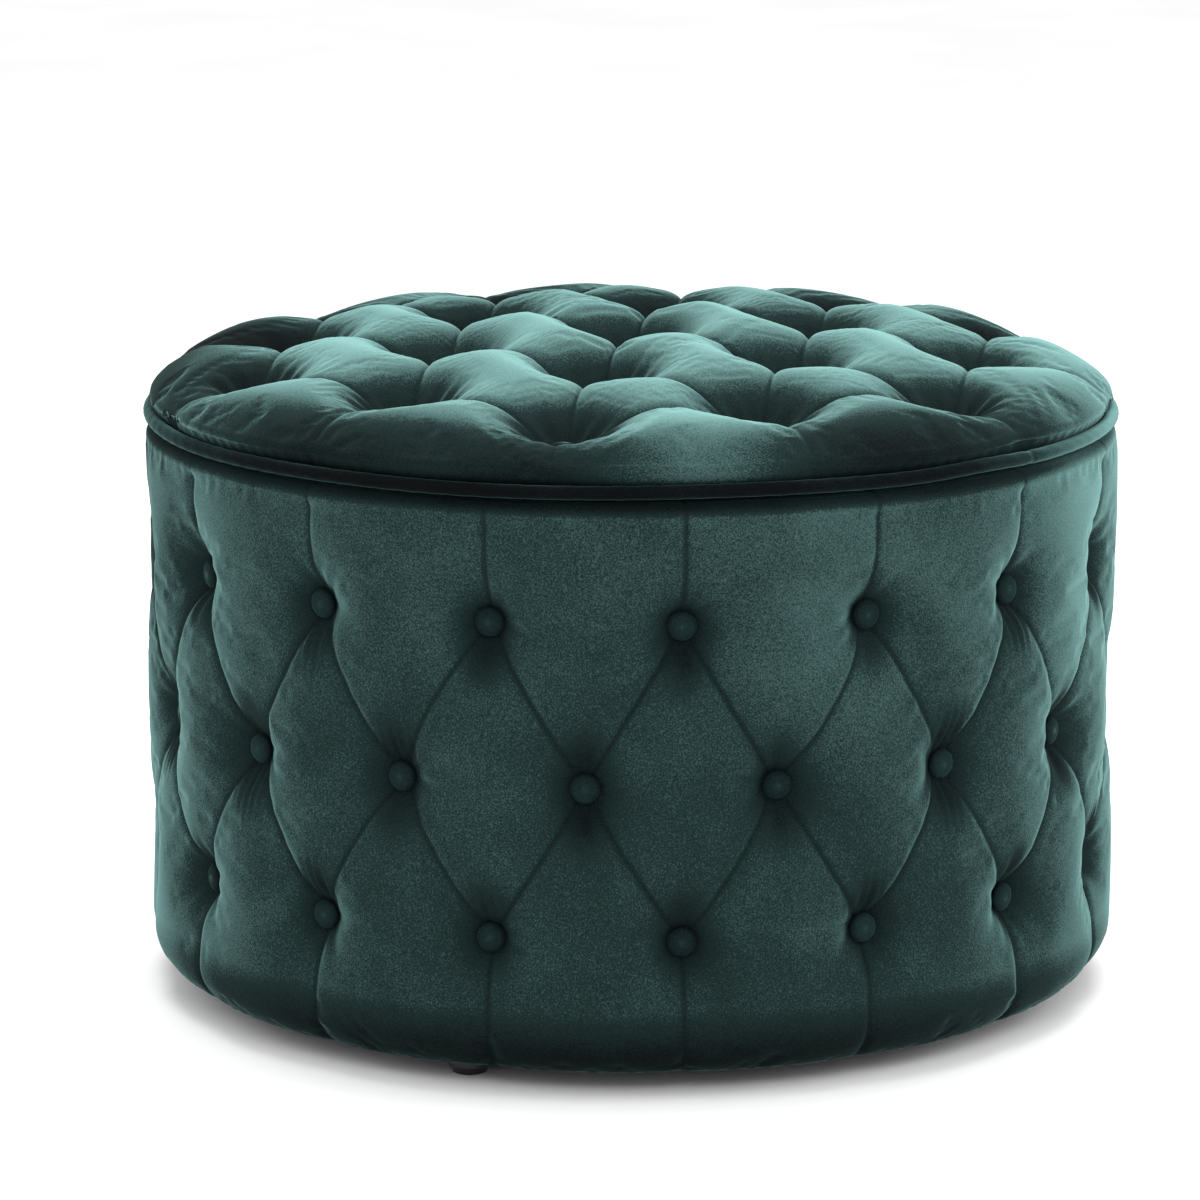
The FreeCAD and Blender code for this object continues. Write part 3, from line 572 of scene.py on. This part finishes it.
# Painted light and shade: patches by angle on the upper side, lighter at the top, darker on both rolls.
SIDE_PAINTED_TONE = ((-95, 24, -1.9), (-62, 12, 0.1), (25, 12, 0.2), (64, 9, 0.7), (92, 9, -0.6))
side_painted_light = angle_patches(around, SIDE_PAINTED_TONE)[None, :] * rising(level, 200 * MM, 100 * MM)
side_painted_light = side_painted_light + 0.15 * rising(level, 250 * MM, 100 * MM)
side_painted_light = side_painted_light - 1.8 * rising(-level, -62 * MM, 46 * MM)
side_painted_light = side_painted_light - 1.2 * rising(level, DRUM_TOP - 9 * MM, 6 * MM)
set_value(side_cover, "painted_light_shade", side_painted_light)
# Painted shade in the folds, along the fold lines and in the V hollows beside the buttons.
side_shade = np.zeros_like(level)
side_open = (1 - SIDE_SHADE * (1 - left) ** 2) * (1 - 0.7 * lines) * (1 - 0.85 * hollow_shade)
side_shade[:len(outer)] = 1 - side_open
set_value(side_cover, "fold_shade", side_shade)

# %% [markdown]
# ## The lid: nineteen buttons under a dome
#
# Seen from above the buttons stand on a triangular lattice, one in the middle and two rings
# round it. Pleats follow two of the lattice's three directions, which leaves long diamonds,
# twelve more run out from the outer buttons to the piping, and four close the two corners where
# those directions leave a gap. The cloth is pulled straight down in the middle and square to the
# padding at the edge.

# %% Lid cross-section
first_way = np.array([np.sin(LID_TURN), np.cos(LID_TURN)]) * LID_SPACING
second_turn = LID_TURN + np.radians(120)
second_way = np.array([np.sin(second_turn), np.cos(second_turn)]) * LID_SPACING
RINGS = 2
counts = range(-RINGS, RINGS + 1)
lattice = {(i, j): second_way * i + first_way * j for i in counts for j in counts if abs(i - j) <= RINGS}
LID_AROUND = 1080
LID_SHADE = 0.85
DOME_STEPS = 220
LID_EDGE_BACK = 0.3 * MM
LID_TURN_IN = 40 * MM
AXIS_HOLE = 2 * MM
ROUND_SHARE = 0.35
hug = PIPING_RADIUS + PIPING_GAP
wrap = arc_points((PIPING_RING, PIPING_Z), hug, 180, 112, 5)
quarter = np.linspace(0, 1, DOME_STEPS + 1)[:-1]
# radii run from 1 to 0, closer together near the rim, where the ellipse turns fastest
dome_share = np.sqrt(np.clip(1 - quarter ** 2, 0, 1)) * ROUND_SHARE + (1 - quarter) * (1 - ROUND_SHARE)
fall = np.sqrt(np.clip(1 - dome_share ** 2, 0, 1))
dome = np.stack([LID_SWELL_RADIUS * dome_share, LID_SWELL_Z + (LID_CROWN_Z - LID_SWELL_Z) * fall], -1)
swell = path_points([wrap[-1], dome[0]], [5])[1:]
lid_outer = np.concatenate([
    path_points([(LID_SEAM_RADIUS - LID_TURN_IN, LID_BOTTOM), (LID_SEAM_RADIUS, LID_BOTTOM),
                 (LID_SEAM_RADIUS, PIPING_Z)], [6, 3]),
    wrap, swell, dome,
])
lid_back = np.array([
    (LID_SEAM_RADIUS - LID_TURN_IN, LID_BOTTOM + VELVET - SKIN_GAP),
    (LID_BOARD_RADIUS + LID_EDGE_BACK, LID_BOTTOM + VELVET - SKIN_GAP),
    (LID_BOARD_RADIUS + LID_EDGE_BACK, LID_BOARD_TOP + SKIN_GAP),
    (AXIS_HOLE, LID_BOARD_TOP + SKIN_GAP),
])
lid_section = np.concatenate([lid_back[::-1], lid_outer])
print("lid section", len(lid_section), "points")

# %% Lid pleats
turn = np.linspace(0, 2 * np.pi, LID_AROUND, endpoint=False)
px = lid_outer[:, :1] * np.sin(turn)
py = -lid_outer[:, :1] * np.cos(turn)
lid_left = np.ones(px.shape)
lid_ripple = np.zeros_like(lid_left)
lid_lines = np.zeros_like(lid_left)
LID_FOLD = dict(middle=0.27, reach=24 * MM, sharp=4.5 * MM, broad=34 * MM, crisp=0.42)
LID_SHARES = dict(start_share=0.75, end_share=0.75)
LID_BOW = 2.5 * MM
RIM_BOW = 2 * MM
RIM_MIDDLE = 0.2
RIM_BROAD = 26 * MM
LID_SEAT = 10.5 * MM
LID_SLOPE = 15 * MM
CORNER_PLEATS = (((1, -1), ((0, -2), (2, 0))), ((-1, 1), ((0, 2), (-2, 0))))


def lid_pleat(start, end, **fold):
    """Lay one pleat into the lid's arrays of what is left and of fold lines."""
    remains, line = pleat(px, py, start, end, **fold)
    np.multiply(lid_left, remains, out=lid_left)
    np.maximum(lid_lines, line, out=lid_lines)


for (i, j), place in lattice.items():
    lid_left *= button_left(px, py, place, LID_SEAT, LID_SLOPE)
    lid_ripple += gathers(px, py, place, random_phase(), 27 * MM, 12 * MM, 11)
    for step in ((1, 0), (0, 1)):
        other = (i + step[0], j + step[1])
        if other in lattice:
            middle = LID_FOLD["middle"] * rng.uniform(*FOLD_SPREAD)
            fold = dict(LID_FOLD, middle=middle, bow=rng.normal(0, LID_BOW))
            lid_pleat(place, lattice[other], **LID_SHARES, **fold)
    if max(abs(i), abs(j), abs(i - j)) == RINGS:
        rim = place / np.hypot(*place) * LID_SEAM_RADIUS
        fold = dict(LID_FOLD, middle=RIM_MIDDLE, broad=RIM_BROAD, bow=rng.normal(0, RIM_BOW))
        lid_pleat(place, rim, start_share=0.75, end_share=0.22, **fold)
for corner, ends in CORNER_PLEATS:
    for end in ends:
        lid_pleat(lattice[corner], lattice[end], **LID_SHARES, **LID_FOLD)
print("lid buttons", len(lattice), "least height left", round(float(lid_left.min()), 3))


# %% Lid surface
EDGE_FROM = 0.29
EDGE_TO = 0.345
EDGE_DEPTH = 15 * MM
LID_RIPPLE_DEPTH = 1.5 * MM
SLUMPS = ((112, 34, 9 * MM), (-150, 25, 3 * MM), (-80, 30, 3 * MM))
lid_radius = lid_outer[:, :1]
lid_height = lid_outer[:, 1:]
edge_share = np.clip((lid_radius - EDGE_FROM) / (EDGE_TO - EDGE_FROM), 0, 1)
edge_share = edge_share ** 2 * (3 - 2 * edge_share)
depth_here = np.maximum(lid_height - LID_BUTTON_BACK, 0) * (1 - edge_share) + EDGE_DEPTH * edge_share
lid_way = np.gradient(lid_outer, axis=0)
lid_normal = np.stack([lid_way[:, 1], -lid_way[:, 0]], -1) / np.linalg.norm(lid_way, axis=1)[:, None]
outward = np.maximum(lid_normal[:, :1], 0) * edge_share
upward = 1 - edge_share + lid_normal[:, 1:] * edge_share
lid_pull = depth_here * (1 - lid_left) - LID_RIPPLE_DEPTH * lid_ripple * (1 - edge_share)
above_piping = np.clip((lid_height - PIPING_Z) / (10 * MM), 0, 1)
above_board = np.where(lid_height > LID_BOARD_TOP, 1, 0)
height_fade = np.where(lid_radius > LID_SEAM_RADIUS - 1 * MM, above_piping, above_board)
lid_pull = lid_pull * height_fade
lid_r = lid_radius - outward * lid_pull
slump = angle_patches(turn, SLUMPS)[None, :] * edge_share * (lid_normal[:, 1:] > 0)
lid_z = lid_height - upward * lid_pull - slump * height_fade
lid_r = np.concatenate([np.repeat(lid_back[::-1, :1], LID_AROUND, 1), lid_r])
lid_z = np.concatenate([np.repeat(lid_back[::-1, 1:], LID_AROUND, 1), lid_z])
lid_points = np.stack([lid_r * np.sin(turn), -lid_r * np.cos(turn), lid_z], -1)
free = loose_share(lid_left, lid_lines) * height_fade
lid_points[len(lid_back):] += settle("lid_cloth", lid_points[len(lid_back):], 1 - free, 3)
lid_cover = grid_piece("lid_padding", lid_points, closed_section=False)
# Painted light and shade: patches by angle near the rim, darker towards the back,
# paler on the pillows between the buttons, and darker at and below the piping.
LID_RIM_PAINTED_TONE = ((-98, 26, -2.8), (-38, 16, -1.0), (-12, 9, -0.7), (9, 9, 0.4), (30, 12, -1.1), (50, 12, -0.7),
               (78, 10, 0.2), (120, 20, -0.5), (180, 30, -0.4), (-140, 14, 0.2))
near_rim = rising(lid_r, 240 * MM, 60 * MM)
lid_painted_light = angle_patches(turn, LID_RIM_PAINTED_TONE)[None, :] * near_rim
lid_painted_light = lid_painted_light - 2.1 * np.clip(-lid_r * np.cos(turn) / SIDE_RADIUS, 0, 1)
lid_painted_light[len(lid_back):] += rising(lid_left, 0.5, 0.3) * (1 - edge_share)
lid_painted_light = lid_painted_light - rising(-lid_z, -PIPING_Z - 9 * MM, 7 * MM)
set_value(lid_cover, "painted_light_shade", lid_painted_light)
# Painted shade in the lid's folds and along its fold lines.
lid_shade = np.zeros_like(lid_r)
lid_open = (1 - LID_SHADE * (1 - lid_left) ** 1.6) * (1 - 0.5 * lid_lines)
lid_shade[len(lid_back):] = (1 - lid_open) * height_fade
set_value(lid_cover, "fold_shade", lid_shade)

# %% [markdown]
# ## Piping
#
# A strip of velvet cut on the bias is sewn round a cord and stitched into the lid's seam.
# It is a tube carried round the ring. It rises and sinks a little where the sewing pulled,
# is pinched at the join, and the strip's slant shows as faint ripples.

# %% Piping tube
PIPE_AROUND = 900
PIPE_SIDES = 20
BIAS_RIPPLES = 120
JOIN_ANGLE = np.radians(52)
pipe_turn = np.linspace(0, 2 * np.pi, PIPE_AROUND, endpoint=False)[None, :]
pipe_side = np.linspace(0, 2 * np.pi, PIPE_SIDES, endpoint=False)[:, None]
off_join = (pipe_turn - JOIN_ANGLE + np.pi) % (2 * np.pi) - np.pi
lift = 0.6 * MM * np.sin(3 * pipe_turn + 0.7) + 0.4 * MM * np.sin(7 * pipe_turn)
lift = lift + 1.8 * MM * np.exp(-((off_join + 0.14) / 0.13) ** 2)
bias_ripple = 0.02 * np.sin(BIAS_RIPPLES * pipe_turn + 2 * pipe_side)
join_pinch = 0.16 * np.exp(-(off_join / 0.006) ** 2)
thick = PIPING_RADIUS * (1 + bias_ripple - join_pinch) * (1 + 0.05 * np.cos(2 * pipe_side))
pipe_r = PIPING_RING + thick * np.cos(pipe_side)
pipe_z = PIPING_Z + lift + thick * np.sin(pipe_side)
pipe_points = np.stack([pipe_r * np.sin(pipe_turn), -pipe_r * np.cos(pipe_turn), pipe_z + 0 * pipe_turn], -1)
piping = grid_piece("lid_piping", pipe_points, closed_section=True)
# Painted light and shade on the piping: dark all round, with paler patches, strongest on the right.
PIPE_PAINTED_TONE = ((85, 28, 3.2), (-75, 12, 0.4), (180, 60, 0.8))
pipe_painted_light = -1.4 + angle_patches(pipe_turn[0], PIPE_PAINTED_TONE)[None, :] + 0 * pipe_side
set_value(piping, "painted_light_shade", pipe_painted_light)

# %% [markdown]
# ## Covered buttons
#
# A covered button is a shallow metal dome with velvet drawn over it. The profile rises from
# the axis at the back, round the edge and over the dome, and is spun about the button's axis.

# %% Buttons
BUTTON_SIDES = 28
BUTTON_LEVELS = 15
EDGE_LEVEL = 0.36            # share of the thickness below the widest level
EDGE_POWER = 0.62            # below 1 the profile is fuller than a circle
WAVY_EDGE = 0.012


def button_points():
    """Button on +Z with its back at 0, by an angle from -90 to 90 degrees up the profile.

    The radius is cos(angle)^0.62, and the height follows sin(angle), scaled apart above and below
    the widest level. Gathered velvet makes the edge slightly wavy.
    """
    profile = np.linspace(-np.pi / 2, np.pi / 2, BUTTON_LEVELS)[1:-1]
    rise = np.sin(profile)
    out = np.cos(profile) ** EDGE_POWER
    under = BUTTON_THICK * EDGE_LEVEL * (1 + rise)
    over = BUTTON_THICK * (EDGE_LEVEL + (1 - EDGE_LEVEL) * rise)
    heights = np.where(rise < 0, under, over)
    turn = np.linspace(0, 2 * np.pi, BUTTON_SIDES, endpoint=False)
    radii = BUTTON_RADIUS * out[:, None] * (1 + WAVY_EDGE * np.cos(7 * turn))
    return np.stack([radii * np.cos(turn), radii * np.sin(turn), heights[:, None] + 0 * turn], -1)


ANY_OTHER_WAY = (0.3, 0.2, 0.93)   # no button points along this


def place_buttons(name, places, tilt, shade):
    """One mesh of all the buttons: each is turned so that +Z follows its axis, tilting a little."""
    base = button_points()
    pieces = []
    for back_point, axis in places:
        axis = axis + rng.normal(0, tilt, 3)
        axis = axis / np.linalg.norm(axis)
        across = np.cross(ANY_OTHER_WAY, axis)
        across = across / np.linalg.norm(across)
        up = np.cross(axis, across)
        pieces.append(back_point + base[..., :1] * across + base[..., 1:2] * up + base[..., 2:] * axis)
    objects = [grid_piece(name, p, closed_section=False) for p in pieces]
    # Painted shade on each button: the given shade, varied at random, and darker towards its back edge.
    edge = 1 - np.clip(base[..., 2] / BUTTON_THICK, 0, 1)
    for o in objects:
        set_value(o, "fold_shade", np.clip(shade * rng.uniform(0.7, 1.2) + 0.6 * edge, 0, 1))
    bpy.ops.object.select_all(action="DESELECT")
    for o in objects:
        o.select_set(True)
    bpy.context.view_layer.objects.active = objects[0]
    bpy.ops.object.join()
    return objects[0]


side_places = []
for row, angle, height in side_buttons():
    outward_way = np.array([np.sin(angle), -np.cos(angle), 0])
    side_places.append((outward_way * (SIDE_RADIUS - BUTTON_SINK) + (0, 0, height), outward_way))
# The last argument is painted shade: 0.5 on the side buttons, 0.75 on the lid's.
side_button_piece = place_buttons("side_covered_buttons", side_places, 0.05, 0.5)
lid_places = [(np.array([p[0], p[1], LID_BUTTON_BACK]), np.array([0, 0, 1.0])) for p in lattice.values()]
lid_button_piece = place_buttons("lid_covered_buttons", lid_places, 0.06, 0.75)
print("buttons on the side", len(side_places), "and on the lid", len(lid_places))

# %% [markdown]
# ## Black cloth inside and underneath
#
# The cavity, the lid's underside and the base are closed with thin spun-bonded cloth. Each
# piece is a closed sheet 0.6 mm thick that lies a little loose: it is carried round or across,
# and waves move it by up to 2.5 mm between the edges where it is fixed. The cloth is pulled
# nearly flat, so a formula shapes it as well as a simulation would.

# %% Lining cloths
CLOTH = 0.6 * MM
CLOTH_AROUND = 360
EDGE_INSET = 0.3 * MM
LINER_WALL = 3 * MM
WALL_GAP = 0.8 * MM
WALL_LOOSE = 0.9 * MM


def waves(angle, height, parts, seed):
    """Loose cloth: the mean of sin(turns * angle + phase + slant * height), always within -1 to 1."""
    made = np.random.default_rng(seed)
    total = 0
    for _ in range(parts):
        turns = made.integers(3, 14)
        total = total + np.sin(turns * angle + made.uniform(0, FULL_TURN) + made.uniform(-9, 9) * height)
    return total / parts


def wall_cloth():
    """Tube of cloth inside the liner, with its top edge turned out over the ring under the lid."""
    foot = high("lining_floor").z
    top = RING_TOP + 0.5 * MM
    wall_radius = (high("inner_liner").x - LINER_WALL) - WALL_GAP
    edge_radius = high("lining_wall").x - EDGE_INSET
    line = path_points([(wall_radius, foot + 0.4 * MM), (wall_radius, top), (edge_radius, top)], [90, 6])
    line = np.concatenate([line, [(edge_radius, top)]])
    way = np.gradient(line, axis=0)
    away = np.stack([way[:, 1], -way[:, 0]], -1) / np.linalg.norm(way, axis=1)[:, None]
    loop = np.concatenate([line - away * CLOTH / 2, (line + away * CLOTH / 2)[::-1]])
    angle = np.linspace(0, 2 * np.pi, CLOTH_AROUND, endpoint=False)[None, :]
    share = np.clip((top - loop[:, 1:]) / (top - foot), 0, 1)
    loose = WALL_LOOSE * (1 - waves(angle, 2 * share, 7, 3)) * np.sin(np.pi * share) ** 0.5
    ring_r = loop[:, :1] - loose
    ring_z = loop[:, 1:] + 0 * angle
    spun = np.stack([ring_r * np.sin(angle), -ring_r * np.cos(angle), ring_z], -1)
    return grid_piece("cavity_wall_cloth", spun, closed_section=True)


def disc_cloth(name, radius, level, sag, fixed_radius, seed):
    """Disc of cloth: flat beyond fixed_radius, and inside it moved up or down by sag times the waves."""
    steps = np.linspace(1, 0, 70)[:-1]
    under_side = np.stack([radius * steps[::-1], 0 * steps], -1)
    upper_side = np.stack([radius * steps, 0 * steps + CLOTH], -1)
    loop = np.concatenate([under_side, upper_side])
    angle = np.linspace(0, 2 * np.pi, CLOTH_AROUND, endpoint=False)[None, :]
    share = np.clip(loop[:, :1] / fixed_radius, 0, 1)
    loose = sag * (1 - share ** 3) * (0.5 + 0.5 * waves(angle, 3 * share, 6, seed) * share)
    ring_z = level + loop[:, 1:] + loose
    spun = np.stack([loop[:, :1] * np.sin(angle), -loop[:, :1] * np.cos(angle), ring_z], -1)
    return grid_piece(name, spun, closed_section=False)


wall_piece = wall_cloth()
floor_piece = disc_cloth("cavity_floor_cloth", high("lining_floor").x - EDGE_INSET,
                         low("lining_floor").z + 0.1 * MM, 1.5 * MM, 0.27, 4)
lid_cloth_piece = disc_cloth("lid_underside_cloth", high("lid_lining").x - EDGE_INSET,
                             low("lid_lining").z + 0.2 * MM, -2 * MM, 0.25, 5)
dust_piece = disc_cloth("dust_cloth", high("dust_cover").x - EDGE_INSET,
                        low("dust_cover").z + 0.2 * MM, -2.5 * MM, 0.262, 6)

# %% [markdown]
# ## Materials
#
# One function turns a hex colour to linear light, and one adds a node with its settings
# and links. Every pattern's scale is worked out from a real size in millimetres.

# %% Node helpers
MM_PER_METRE = 1000


def linear(hex_colour, alpha=1.0):
    """sRGB hex to linear RGBA: c / 12.92 below 0.04045, else ((c + 0.055) / 1.055) to the power 2.4."""
    srgb = np.array([int(hex_colour[k:k + 2], 16) for k in (1, 3, 5)]) / 255
    value = np.where(srgb <= 0.04045, srgb / 12.92, ((srgb + 0.055) / 1.055) ** 2.4)
    return (*value.tolist(), alpha)


def add(tree, kind, settings=None, *joined, **links):
    """Add a node: settings are properties or input values; sockets join inputs in order or by name."""
    node = tree.nodes.new("ShaderNode" + kind)
    for key, value in (settings or {}).items():
        if isinstance(key, int) or key in node.inputs:
            node.inputs[key].default_value = value
        else:
            setattr(node, key, value)
    named = [(key.replace("_", " "), socket) for key, socket in links.items()]
    for key, socket in [*enumerate(joined), *named]:
        if socket is not None:
            tree.links.new(socket, node.inputs[key])
    return node


def material(name):
    """A new material, its node tree and its shader."""
    made = bpy.data.materials.new(name)
    made.use_nodes = True
    return made, made.node_tree, made.node_tree.nodes["Principled BSDF"]


def per_mm(size_mm):
    """Noise scale for features of this size in millimetres."""
    return MM_PER_METRE / size_mm


print("mid green in linear light", [round(c, 3) for c in linear("#192928")])

# %% [markdown]
# ## Velvet
#
# The cloth is a short-pile polyester velvet. Its fibres stand up, so it looks dark where it is
# seen straight on and pale where it is seen at a slant. Layer Weight gives the slant, one attribute
# adds painted light and shade, and fold_shade adds painted shade in the folds, the hollows and on
# the buttons. They meet in one number from 0 to 1 that picks a colour from a ramp.

# %% Velvet
REST = 0.3
SLANT_POWER = 2.8
PATCH_MM = 75


def velvet(name, deep, dark, light, pile_mm=1.1):
    """Short-pile polyester velvet: dark where it is seen straight on, pale where it is seen at a slant."""
    made, tree, shader = material(name)
    place = add(tree, "TexCoord").outputs["Object"]
    pile = add(tree, "TexNoise", {"Scale": per_mm(pile_mm), "Detail": 2.0, "Roughness": 0.6}, Vector=place)
    brushed = add(tree, "TexNoise", {"Scale": per_mm(PATCH_MM), "Detail": 3.0, "Distortion": 0.6},
                  Vector=place)
    slant = add(tree, "LayerWeight", {"Blend": 0.5}).outputs["Facing"]
    curve = add(tree, "Math", {"operation": "POWER", 1: SLANT_POWER}, slant).outputs[0]
    # Painted light and shade, and painted shade in the folds, read from the two attributes.
    painted_tone = add(tree, "Attribute", {"attribute_name": "painted_light_shade"}).outputs["Fac"]
    shade = add(tree, "Attribute", {"attribute_name": "fold_shade"}).outputs["Fac"]
    noise_range = {"From Min": 0.3, "From Max": 0.7}
    patches = add(tree, "MapRange", {**noise_range, "To Min": -0.035, "To Max": 0.035},
                  Value=brushed.outputs["Fac"]).outputs["Result"]
    grain = add(tree, "MapRange", {**noise_range, "To Min": -0.1, "To Max": 0.1},
                Value=pile.outputs["Fac"]).outputs["Result"]
    slanted = add(tree, "Math", {"operation": "MULTIPLY_ADD", 1: 1 - REST, 2: REST}, curve).outputs[0]
    with_painted_tone = add(tree, "Math", {"operation": "MULTIPLY_ADD", 1: REST * 0.8}, painted_tone, None, slanted).outputs[0]
    patched = add(tree, "Math", {"operation": "ADD"}, with_painted_tone, patches).outputs[0]
    open_share = add(tree, "Math", {"operation": "SUBTRACT", 0: 1.0, "use_clamp": True},
                     None, shade).outputs[0]
    shaded = add(tree, "Math", {"operation": "MULTIPLY"}, patched, open_share).outputs[0]
    grained = add(tree, "Math", {"operation": "ADD", "use_clamp": True}, shaded, grain).outputs[0]
    tones = add(tree, "ValToRGB", Fac=grained)
    stops = tones.color_ramp.elements
    stops[0].position, stops[0].color = 0.0, linear(deep)
    stops[1].position, stops[1].color = 1.0, linear(light)
    middle = stops.new(REST)
    middle.color = linear(dark)
    tree.links.new(tones.outputs["Color"], shader.inputs["Base Color"])
    bump = add(tree, "Bump", {"Strength": 0.35, "Distance": 0.0006}, Height=pile.outputs["Fac"])
    tree.links.new(bump.outputs["Normal"], shader.inputs["Normal"])
    shader.inputs["Roughness"].default_value = 0.95
    shader.inputs["Specular IOR Level"].default_value = 0.04
    shader.inputs["Sheen Weight"].default_value = 0.03
    shader.inputs["Sheen Roughness"].default_value = 0.35
    shader.inputs["Sheen Tint"].default_value = linear("#a8d4cf")
    return made


# The button and piping velvets are the same cloth with a darker pale end, and the piping a darker deep end:
# painted shade.
cover_velvet = velvet("green_velvet", "#0a0f10", "#192928", "#6e9693")
button_velvet = velvet("button_velvet", "#0a1011", "#1a2c2c", "#5c827f", pile_mm=0.9)
piping_velvet = velvet("piping_velvet", "#07090b", "#1b2c2c", "#5f8683", pile_mm=0.9)
for piece, finish in ((side_cover, cover_velvet), (lid_cover, cover_velvet), (piping, piping_velvet),
                      (side_button_piece, button_velvet), (lid_button_piece, button_velvet)):
    piece.data.materials.clear()
    piece.data.materials.append(finish)
print("velvets", [finish.name for finish in (cover_velvet, button_velvet, piping_velvet)])

# %% [markdown]
# ## Plain finishes
#
# Under and inside the velvet are birch plywood, planed pine, hardboard, foam, fibre, twine,
# moulded plastic and plated steel. Each finish varies between two close colours over spots of
# a real size, stretched along the grain in wood, which is enough for pieces that hardly show.

# %% Plain finishes for boards, cloth and fixings
def plain(name, hex_a, hex_b, size_mm, rough, metal=0.0, stretch=(1, 1, 1)):
    """A finish that varies between two close colours over spots of a real size."""
    made, tree, shader = material(name)
    place = add(tree, "TexCoord").outputs["Object"]
    scaled = add(tree, "Mapping", {"Scale": stretch}, Vector=place)
    spots = add(tree, "TexNoise", {"Scale": per_mm(size_mm), "Detail": 4.0}, Vector=scaled.outputs["Vector"])
    ramp = add(tree, "ValToRGB", Fac=spots.outputs["Fac"])
    for stop, position, colour in zip(ramp.color_ramp.elements, (0.35, 0.65), (hex_a, hex_b)):
        stop.position = position
        stop.color = linear(colour)
    tree.links.new(ramp.outputs["Color"], shader.inputs["Base Color"])
    bump = add(tree, "Bump", {"Strength": 0.2, "Distance": 0.0004}, Height=spots.outputs["Fac"])
    tree.links.new(bump.outputs["Normal"], shader.inputs["Normal"])
    shader.inputs["Roughness"].default_value = rough
    shader.inputs["Metallic"].default_value = metal
    return made


FINISHES = {
    "plywood": plain("birch_plywood", "#c9a878", "#b48f5c", 6, 0.6, stretch=(1, 8, 8)),
    "softwood": plain("planed_pine", "#d2ae78", "#b98d55", 5, 0.6, stretch=(6, 6, 1)),
    "fibreboard": plain("hardboard", "#6d4c33", "#5b3e29", 2, 0.7),
    "lining_cloth": plain("black_nonwoven", "#141415", "#232325", 1.5, 0.9),
    "foot_plastic": plain("black_polypropylene", "#0c0c0d", "#161617", 1.2, 0.45),
    "washer_plastic": plain("natural_nylon", "#cfcabd", "#bdb8aa", 1.2, 0.5),
    "screw_steel": plain("zinc_plated_steel", "#c9c3a8", "#aaa58e", 3, 0.35, 1.0),
    "staple_steel": plain("galvanised_wire", "#b5b5b5", "#9c9c9c", 1, 0.4, 1.0),
    "twine": plain("waxed_twine", "#c8bda0", "#a99d80", 0.8, 0.7),
    "cord_core": plain("piping_cord", "#cfc8b6", "#b4ad9b", 1.2, 0.9),
    "felt": plain("wool_felt", "#1a1a1a", "#2a2a2a", 1.0, 1.0),
    "foam": plain("upholstery_foam", "#d8cfa8", "#c8be94", 1.0, 0.95),
    "wadding": plain("polyester_wadding", "#e4e4e0", "#d2d2ce", 3, 1.0),
    "velvet": cover_velvet,
    "button_velvet": button_velvet,
    "piping_velvet": piping_velvet,
}
slot_of = {s["node"]: s["material_slot"] for s in frame["record"]["subparts"]}
for node_name, node in nodes.items():
    node.data.materials.clear()
    node.data.materials.append(FINISHES[slot_of[node_name]])
floor_finish = plain("pale_floor", "#fafafa", "#ffffff", 400, 0.8)
floor.data.materials.append(floor_finish)
print("finishes", len(FINISHES))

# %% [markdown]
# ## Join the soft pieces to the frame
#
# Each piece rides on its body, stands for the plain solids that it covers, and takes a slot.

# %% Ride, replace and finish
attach(side_cover, "drum")
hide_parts("side_cover", "side_wadding", "side_foam")
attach(side_button_piece, "drum")
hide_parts("side_buttons")
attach(lid_cover, "lid")
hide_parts("lid_cover", "lid_wadding", "lid_foam")
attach(lid_button_piece, "lid")
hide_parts("lid_buttons")
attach(piping, "lid")
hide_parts("piping_cover", "piping_cord")

for piece, body, node, support, wide in (
        (wall_piece, "drum", "lining_wall", "inner_liner", None),
        (floor_piece, "drum", "lining_floor", "floor_panel", "lining_floor"),
        (lid_cloth_piece, "lid", "lid_lining", "lid_board", "lid_lining"),
        (dust_piece, "drum", "dust_cover", "base_board", "dust_cover")):
    piece.data.materials.clear()
    piece.data.materials.append(FINISHES["lining_cloth"])
    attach(piece, body)
    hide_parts(node)
print("sheets", [sheet.name for sheet in (wall_piece, floor_piece, lid_cloth_piece, dust_piece)])
